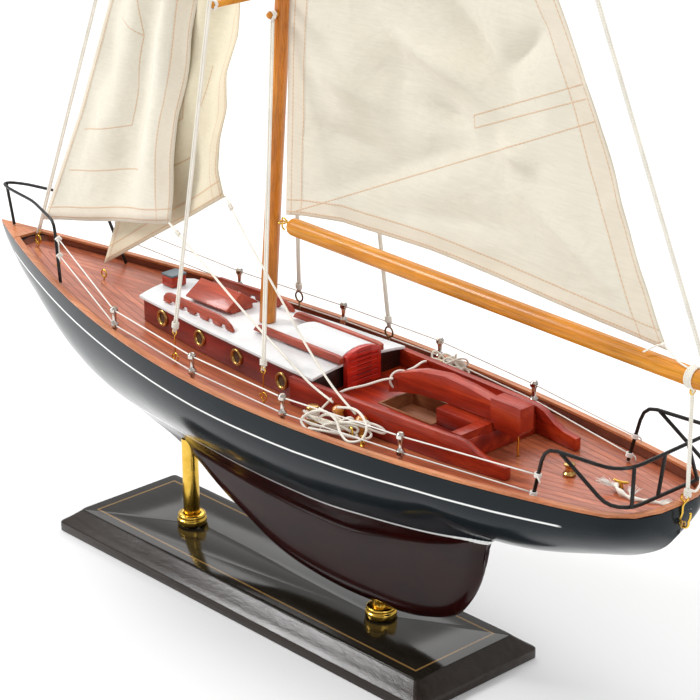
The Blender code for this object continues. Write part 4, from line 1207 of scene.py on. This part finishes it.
def add_stern_cord():
    """Short frayed cord made fast to a small cleat on the after deck."""
    deck = deck_z(238)
    line = smooth([(225.6, 3.0, deck + 2.2), (229.0, -0.6, deck + 2.6), (234.0, -1.6, deck + 1.5),
                   (240.0, -1.6, deck + 0.9), (246.0, 0.8, deck + 1.1), (251.6, 3.4, deck + 0.9),
                   (257.0, 5.0, deck + 1.2), (262.0, 5.6, deck + 2.6)], 5)
    widths = [1.15 + 0.35 * math.sin(k * 0.9) for k in range(len(line))]
    cord("stern_cord", line, 2.3, widths=widths)
    strands("stern_cord_fray", line[4], (-1, -0.35, 0.2), 64, 8.0, 7.5)
    strands("stern_cord_tuft", line[14], (-0.5, 1.0, 0.35), 26, 8.0, 6.0)
    strands("stern_cord_tail", line[24], (0.9, 0.6, 0.15), 24, 8.0, 5.0)
    strands("stern_cord_end", line[-3], (1.0, 0.1, -0.05), 30, 8.0, 4.5)
    turned("stern_cleat_foot", [(0, 0), (1.5, 0), (1.1, 1.2), (0.9, 2.8), (0, 3.0)], (226.6, 5.4, deck), 16,
           BRASS)
    bar = smooth([(222.6, 4.2, deck + 3.6), (224.6, 4.8, deck + 3.1), (226.6, 5.4, deck + 3.0),
                  (228.6, 6.0, deck + 3.1), (230.6, 6.6, deck + 3.6)], 4)
    tube("stern_cleat_bar", bar, [0.5] * 2 + [0.75] * (len(bar) - 4) + [0.5] * 2, 10, BRASS)


# ---------------------------------------------------------------- small fittings

def screw_eye(name, place, radius, wire, normal, shank, finish=None):
    """Ring of wire, not quite closed, on a short shank that goes down into the deck."""
    x, y, z = place
    centre = Vector((x, y, z + shank + radius))
    ring = ring_line(centre, radius, normal, 0.0, 360.0, 24)
    down = min(range(len(ring)), key=lambda k: ring[k].z)
    order = ring[down:-1] + ring[:down]
    line = [Vector((x, y, z - 0.6)), Vector((x, y, z + shank * 0.6))] + order
    line[-1] = line[-1].lerp(line[-2], 0.2)
    tube(name, line, wire, 8, finish or BRASS)


def hook(name, top, low, wire, side):
    """Bent wire hook: an eye round the cord at the top and an open hook at the foot."""
    top, low = Vector(top), Vector(low)
    side = Vector(side)
    heading = (top - low).normalized()
    eye = top + heading * 1.4
    line = [eye + heading * 1.7 * math.cos(a) + side * 1.7 * math.sin(a)
            for a in (math.radians(200 + 300 * k / 14) for k in range(15))]
    line.append(top - heading * 0.8)
    line.append(low + heading * 3.0)
    line += [low + heading * 1.6 * math.cos(a) + side * (1.6 * math.sin(a) - 1.6)
             for a in (math.radians(90 + 200 * k / 10) for k in range(11))]
    tube(name, line, wire, 8, BRASS)


def add_post_tops():
    """Upper end of each post, let into the curved bottom of the hull."""
    for x, low, high in ((-103.5, 50.0, 70.0), (61.6, 22.0, 26.0)):
        turned("post_top_%s" % ("fore" if x < 0 else "aft"),
               [(0, low), (4.97, low), (4.97, high), (0, high)], (x, 0, 0), 40, BRASS)


def add_shroud_hooks():
    for side, name in SIDES:
        for place, (x, y) in CHAINS.items():
            foot = deck_z(x)
            # The starboard eyes, on the far side, get the darker brass as painted shade.
            if side > 0:
                screw_eye("%s_eye_%s" % (place, name), (x, y, foot), 3.0, 0.55, (0, 1, 0), 13.0,
                          finish=SHADED_BRASS)
            else:
                screw_eye("%s_eye_%s" % (place, name), (x, -y, foot), 2.3, 0.45, (0, 1, 0), 1.6)
                hook("%s_hook_%s" % (place, name), (x, -y, foot + 17.6), (x, -y, foot + 4.2), 0.4,
                     (1, 0, 0))


def add_eyes():
    screw_eye("bow_eye", (-247.0, 0, deck_z(-247)), 2.6, 0.55, (0, 1, 0), 2.0)
    hook("bow_hook", (-246.6, 0, 163.2), (-247.0, 0, 158.0), 0.45, (1, 0, 0))
    screw_eye("staysail_eye", (-180.6, 0, deck_z(-180.6)), 2.3, 0.5, (0, 1, 0), 1.6)
    eye = ring_line((270.8, 0, 157.2), 2.0, (0, 1, 0), 60, 300, 16)
    curl = ring_line((271.2, 0, 144.6), 2.7, (0, 1, 0), 170, -190, 14)
    stem = [eye[-1], Vector((270.0, 0, 153.0)), Vector((269.8, 0, 149.0))]
    prong = [Vector((274.6, 0, 147.6)), Vector((274.9, 0, 150.8))]
    tube("stern_hook", eye[:-1] + smooth(stem + curl + prong, 3), 0.62, 8, BRASS)
    ring = ring_line((270.6, 0, 143.2), 1.5, (1, 0, 0.0), 0, 340, 18)
    tube("stern_eye", [Vector((268.4, 0, 144.6)), Vector((269.8, 0, 144.7))] + ring, 0.5, 8, OLD_BRASS)
    tube("sheet_eye", ring_line((272.4, 0, boom_z(272.4) - 6.6), 1.9, (1, 0, 0), 90, 350, 20), 0.5, 8,
         BRASS, "boom")
    tube("lift_eye", ring_line((279.0, 0, boom_z(279.0) + 6.4), 1.9, (0, 1, 0), 270, 350, 20), 0.45, 8,
         BRASS, "boom")
    for k, (x, y) in enumerate(((86.1, -45.0), (99.5, -49.6))):
        screw_eye("port_eye_%d" % (k + 1), (x, y, deck_z(x)), 2.9, 0.6, (0.5, 1, 0), 1.0)
    for side, name in SIDES:
        ring = ring_line((-196.5, side * 22.0, 161.0), 1.5, (-0.45, side * 0.2, 0.87), 0, 350, 16)
        tube("pulpit_ring_" + name, ring, 0.4, 8, BRASS)


def add_clew_tie():
    """Cord that ties the after corner of the mainsail down to the boom."""
    x = 258.0
    loop = [(x - 3.4, -1.0, 231.6), (x + 1.0, -1.4, 229.0), (x + 7.0, -1.6, 225.6), (x + 12.4, -1.8, 224.4)]
    tube("clew_tie", smooth(loop, 5), LINE * 0.6, 8, COTTON, "boom")
    tail = smooth([(x - 3.4, -1.0, 231.6), (x - 6.6, -1.8, 230.4), (x - 10.0, -3.4, 228.0),
                   (x - 13.0, -4.6, 225.8)], 5)
    tube("clew_tail", tail, [LINE * 0.6] * (len(tail) - 1) + [LINE * 0.2], 8, COTTON, "boom")
    bead = [(0.0, -1.0), (0.7, -0.9), (1.1, -0.4), (1.2, 0.0), (1.1, 0.4), (0.7, 0.9), (0.0, 1.0)]
    turned("clew_knot", bead, (x - 3.6, -1.0, 231.4), 14, COTTON, "boom")


def add_portholes():
    """Four brass-rimmed lights each side, square to the trunk's side, which narrows forward."""
    rim = [(3.15, -0.2), (5.0, -0.2), (5.15, 0.5), (4.85, 1.15), (4.3, 1.35), (3.7, 1.2), (3.3, 0.7),
           (3.15, -0.2)]
    glass = [(0, -0.15), (3.25, -0.15), (3.25, 0.2), (2.2, 0.34), (0, 0.42)]
    for side, name in SIDES:
        for k, (x, y, z) in enumerate(((-96.0, 22.5, 154.3), (-58.4, 26.1, 153.5), (-23.5, 28.6, 152.7),
                                       (16.8, 31.1, 151.1))):
            slope = 0.0982 if x < -60 else (0.0717 if x < 0 else 0.0488)
            normal = Vector((-slope, side, 0)).normalized()
            for label, profile, sides, finish in (("", rim, 32, OLD_BRASS), ("glass_", glass, 28, GLASS)):
                turned("porthole_%s%s_%d" % (label, name, k + 1), profile, (x, side * y, z), sides, finish,
                       "hull", normal, 60)


def dark_glass():
    s = Shader("dark_glass", roughness=0.12, specular_ior_level=0.5)
    cloud = s.noise(s.place, 400.0, 3.0)
    s.colour(s.ramp(cloud, [(0.3, (0.030, 0.014, 0.005)), (0.7, (0.085, 0.045, 0.014))]))
    s.rough(s.grey(cloud, 0.3, 0.7, 0.16, 0.3))
    s.bump(cloud, 0.05, 0.4)
    return s.material


GLASS = dark_glass()


# ---------------------------------------------------------------- sails

def sail(name, node, body, grid, shape, finish):
    """Sailcloth over a grid of rows and columns, in place of a CAD node.

    shape(s, t) gives the point, its place on the flat cut and its distances to the edges.
    """
    rows, columns = grid
    corners = []
    cuts = []
    edges = []
    for i in range(rows + 1):
        for j in range(columns + 1):
            point, cut, edge = shape(j / columns, i / rows)
            corners.append(Vector(point) * MM)
            cuts += [cut[0], 0.0, cut[1]]
            edges += list(edge)
    faces = []
    step = columns + 1
    for i in range(rows):
        for j in range(columns):
            a = i * step + j
            faces.append((a, a + 1, a + step + 1, a + step))
    mesh = bpy.data.meshes.new(name)
    mesh.from_pydata([tuple(c) for c in corners], [], faces)
    for label, values in (("cut", cuts), ("edges", edges)):
        attribute = mesh.attributes.new(label, "FLOAT_VECTOR", "POINT")
        attribute.data.foreach_set("vector", values)
    for face in mesh.polygons:
        face.use_smooth = True
    mesh.materials.append(finish)
    obj = add_object(name, mesh)
    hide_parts(node)
    solid = obj.modifiers.new("cloth_thickness", "SOLIDIFY")
    solid.thickness = CLOTH * MM
    solid.offset = 0.0
    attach(obj, body)


def fold(x, z, start, end, width, height):
    """Height of one soft crease from start to end on the flat cut."""
    (x0, z0), (x1, z1) = start, end
    length = math.hypot(x1 - x0, z1 - z0)
    ux, uz = (x1 - x0) / length, (z1 - z0) / length
    run = ((x - x0) * ux + (z - z0) * uz) / length
    if run < -0.2 or run > 1.2:
        return 0.0
    side = ((x - x0) * uz - (z - z0) * ux) / width
    taper = math.sin(math.pi * clamp((run + 0.2) / 1.4)) ** 1.5
    return height * taper * math.exp(-abs(side) ** 1.3)


FOOT_LIFT = [(0, 0), (0.05, 2.6), (0.16, 6.3), (0.4, 7), (0.6, 4.6), (0.84, 1.4), (1, 0)]
LEECH = [
    (228.7, 256.4), (277.2, 230.8), (330.9, 208.3), (341.9, 203.2), (352.9, 198.1), (383.3, 181.3),
    (450, 148), (530, 112), (620, 72), (716, 34),
]
MAIN_FOLDS = [
    ((83, 317), (119, 308), 5, 4.5), ((76, 319), (101, 311), 4, -3.0), ((171, 367), (139, 339), 7, 4.5),
    ((143, 306), (166, 297), 6, -4.5), ((-1, 243), (126, 301), 9, 4.0), ((15, 232), (214, 243), 6, 3.2),
    ((22, 220), (188, 231), 6, -3.4), ((0, 321), (61, 306), 8, -4.0), ((0, 288), (61, 279), 8, 3.4),
    ((150, 330), (62, 395), 9, 5.0), ((150, 318), (60, 352), 8, -4.0), ((256, 229), (150, 290), 9, -3.5),
    ((90, 400), (150, 440), 9, 3.5), ((60, 440), (120, 400), 10, -3.0), ((20, 480), (90, 520), 12, 3.0),
    ((30, 560), (80, 600), 10, -2.5), ((60, 250), (150, 262), 7, 3.0), ((70, 345), (140, 330), 6, -3.5),
]
JIB_LUFF = [(0, 0), (0.08, 3.7), (0.15, 7), (0.3, 7.5), (0.6, 5.5), (1, 0)]
JIB_LEECH = [(0, -2.4), (0.07, -8.2), (0.13, -12), (0.2, -10.4), (0.27, -10), (0.6, -8), (1, 0)]
STAY_LEECH = [
    (0, 0.5), (0.06, -3.7), (0.12, -3.5), (0.19, 1.1), (0.26, -2.4), (0.34, 2.5), (0.41, 1.8), (0.7, -2),
    (1, 0),
]


def main_shape(s, t):
    low = lerp(231.4, 714, t)
    high = lerp(228.7, 716, t)
    start = mast_x(low) + mast_radius(low) + 1.1 + 5.3 * max(0.0, 1 - (low - 229) / 110)
    end = table(LEECH, high)
    lift = table(FOOT_LIFT, s) * (1 - t) ** 8
    x, z = lerp(start, end, s), lerp(low, high, s) + lift
    held = min(1.0, 6 * s) * ease(7 * t + 0.25) * min(1.0, 12 * (1 - t))
    belly = 7 * math.sin(math.pi * s) * (1 - t) ** 0.5 * min(1.0, 0.4 + 3 * t)
    crease = 1.5 * sum(fold(x, z, *row) for row in MAIN_FOLDS)
    soft = ripple(x * 0.021, z * 0.016, 2.2) * 3.0 + ripple(x * 0.05 + 9, z * 0.05, 5.1) * 1.1
    foot = lerp(231.4, 228.7, s) + table(FOOT_LIFT, s)
    edge = ((end - start) * s, (z - foot) * 0.97, (end - start) * (1 - s) * 0.91)
    return (x, belly + held * (crease + soft), z), (x, z), edge


def triangle_shape(tack, head, clew, waves, luff, leech):
    """Headsail between three corners; luff and leech say how far each edge bends aft.

    waves(s, t, x, z) moves the cloth sideways.
    """
    def distance(p, a, b):
        return abs((p[0] - a[0]) * (b[2] - a[2]) - (p[1] - a[2]) * (b[0] - a[0])) / math.hypot(
            b[0] - a[0], b[2] - a[2])

    def shape(s, t):
        t *= 0.985
        x, y, z = mix(mix(tack, head, t), mix(clew, head, t), s)
        bend = lerp(table(luff, t), table(leech, t), s)
        move = waves(s, t, x, z)
        edge = (distance((x, z), tack, head), distance((x, z), tack, clew), distance((x, z), clew, head))
        return (x + bend, y + move, z), (x + bend, z), edge
    return shape


def jib_waves(s, t, x, z):
    loose = s ** 0.8 * (1 - 0.55 * t) * min(1.0, 18 * (1 - t))
    side = 8.0 * loose * math.sin(2 * math.pi * (s * 2.1 + 0.35 * t))
    side += 4.0 * math.sin(math.pi * s) * (1 - t)
    side += 3.2 * ripple(x * 0.03, z * 0.02, 7.7) * min(1.0, 5 * s)
    side += 1.5 * ripple(x * 0.07, z * 0.03, 1.7) * min(1.0, 5 * s)
    return side * ease(9 * t + 0.3)


def stay_waves(s, t, x, z):
    loose = s ** 0.8 * (1 - 0.5 * t) * min(1.0, 18 * (1 - t))
    side = 5.5 * loose * math.sin(2 * math.pi * (s * 1.6 - 0.2 * t) + 1.2)
    side += 2.8 * ripple(x * 0.03, z * 0.02, 3.7) * min(1.0, 5 * s)
    side += 1.4 * ripple(x * 0.07, z * 0.03, 6.2) * min(1.0, 5 * s)
    return side * ease(9 * t + 0.3)


def chain(lines):
    """Seams that follow each of the lines from point to point."""
    return [(a, b) for line in lines for a, b in zip(line, line[1:])]


def add_sails():
    main_lines = [[(123.0, 314.4), (197.6, 345.8)], [(123.1, 307.8), (199.7, 339.0)],
                  [(123.0, 314.4), (123.1, 307.8)], [(-4.8, 235.4), (205.4, 329.2)]]
    main_cloth = canvas("main_canvas", chain(main_lines), ((4.0, 11.7), (2.0, 8.5), (3.0, 15.0)))
    sail("mainsail_cloth", "mainsail", "boom", (200, 100), main_shape, main_cloth)

    jib_lines = [[(-194, 241.7), (-146.8, 254.1), (-130.9, 310.2), (-132.7, 331)],
                 [(-211.2, 212.4), (-135.8, 230.7), (-122.8, 268.9), (-113.9, 292.1), (-104.2, 335.8)],
                 [(-147.2, 318), (-130.9, 310.2)]]
    jib_cloth = canvas("jib_canvas", chain(jib_lines), ((3.0,), (2.0, 8.0), (2.6, 12.0)))
    jib_shape = triangle_shape((-240.2, 0, 173.9), (-3, 0, 690), (-92.8, -16, 210), jib_waves, JIB_LUFF,
                               JIB_LEECH)
    sail("jib_cloth", "jib", "hull", (80, 40), jib_shape, jib_cloth)

    stay_lines = [[(-102, 265.4), (-92.9, 270.2), (-89.9, 300.6)],
                  [(-104.8, 239.2), (-88, 248.8), (-80.8, 277.5), (-71, 304.2)]]
    # The staysail lies in shade behind the jib, so its cloth is painted warmer: painted shade.
    stay_cloth = canvas("stay_canvas", chain(stay_lines), ((3.0,), (2.0, 8.0), (2.6, 10.0)),
                        (1.0, 0.955, 0.84))
    stay_shape = triangle_shape((-180.1, 0, 160.2), (-20, 0, 510), (-52.5, -10, 234.6), stay_waves,
                                [(0, 0), (1, 0)], STAY_LEECH)
    sail("staysail_cloth", "staysail", "hull", (70, 34), stay_shape, stay_cloth)


# ---------------------------------------------------------------- scene

add_camera()
add_studio()
dress_cad()
add_hull_skin()
add_standing_rigging()
add_lifelines()
add_running_rigging()
add_coils()
add_tiller_lashing()
add_stern_cord()
add_post_tops()
add_shroud_hooks()
add_eyes()
add_portholes()
add_clew_tie()
add_sails()
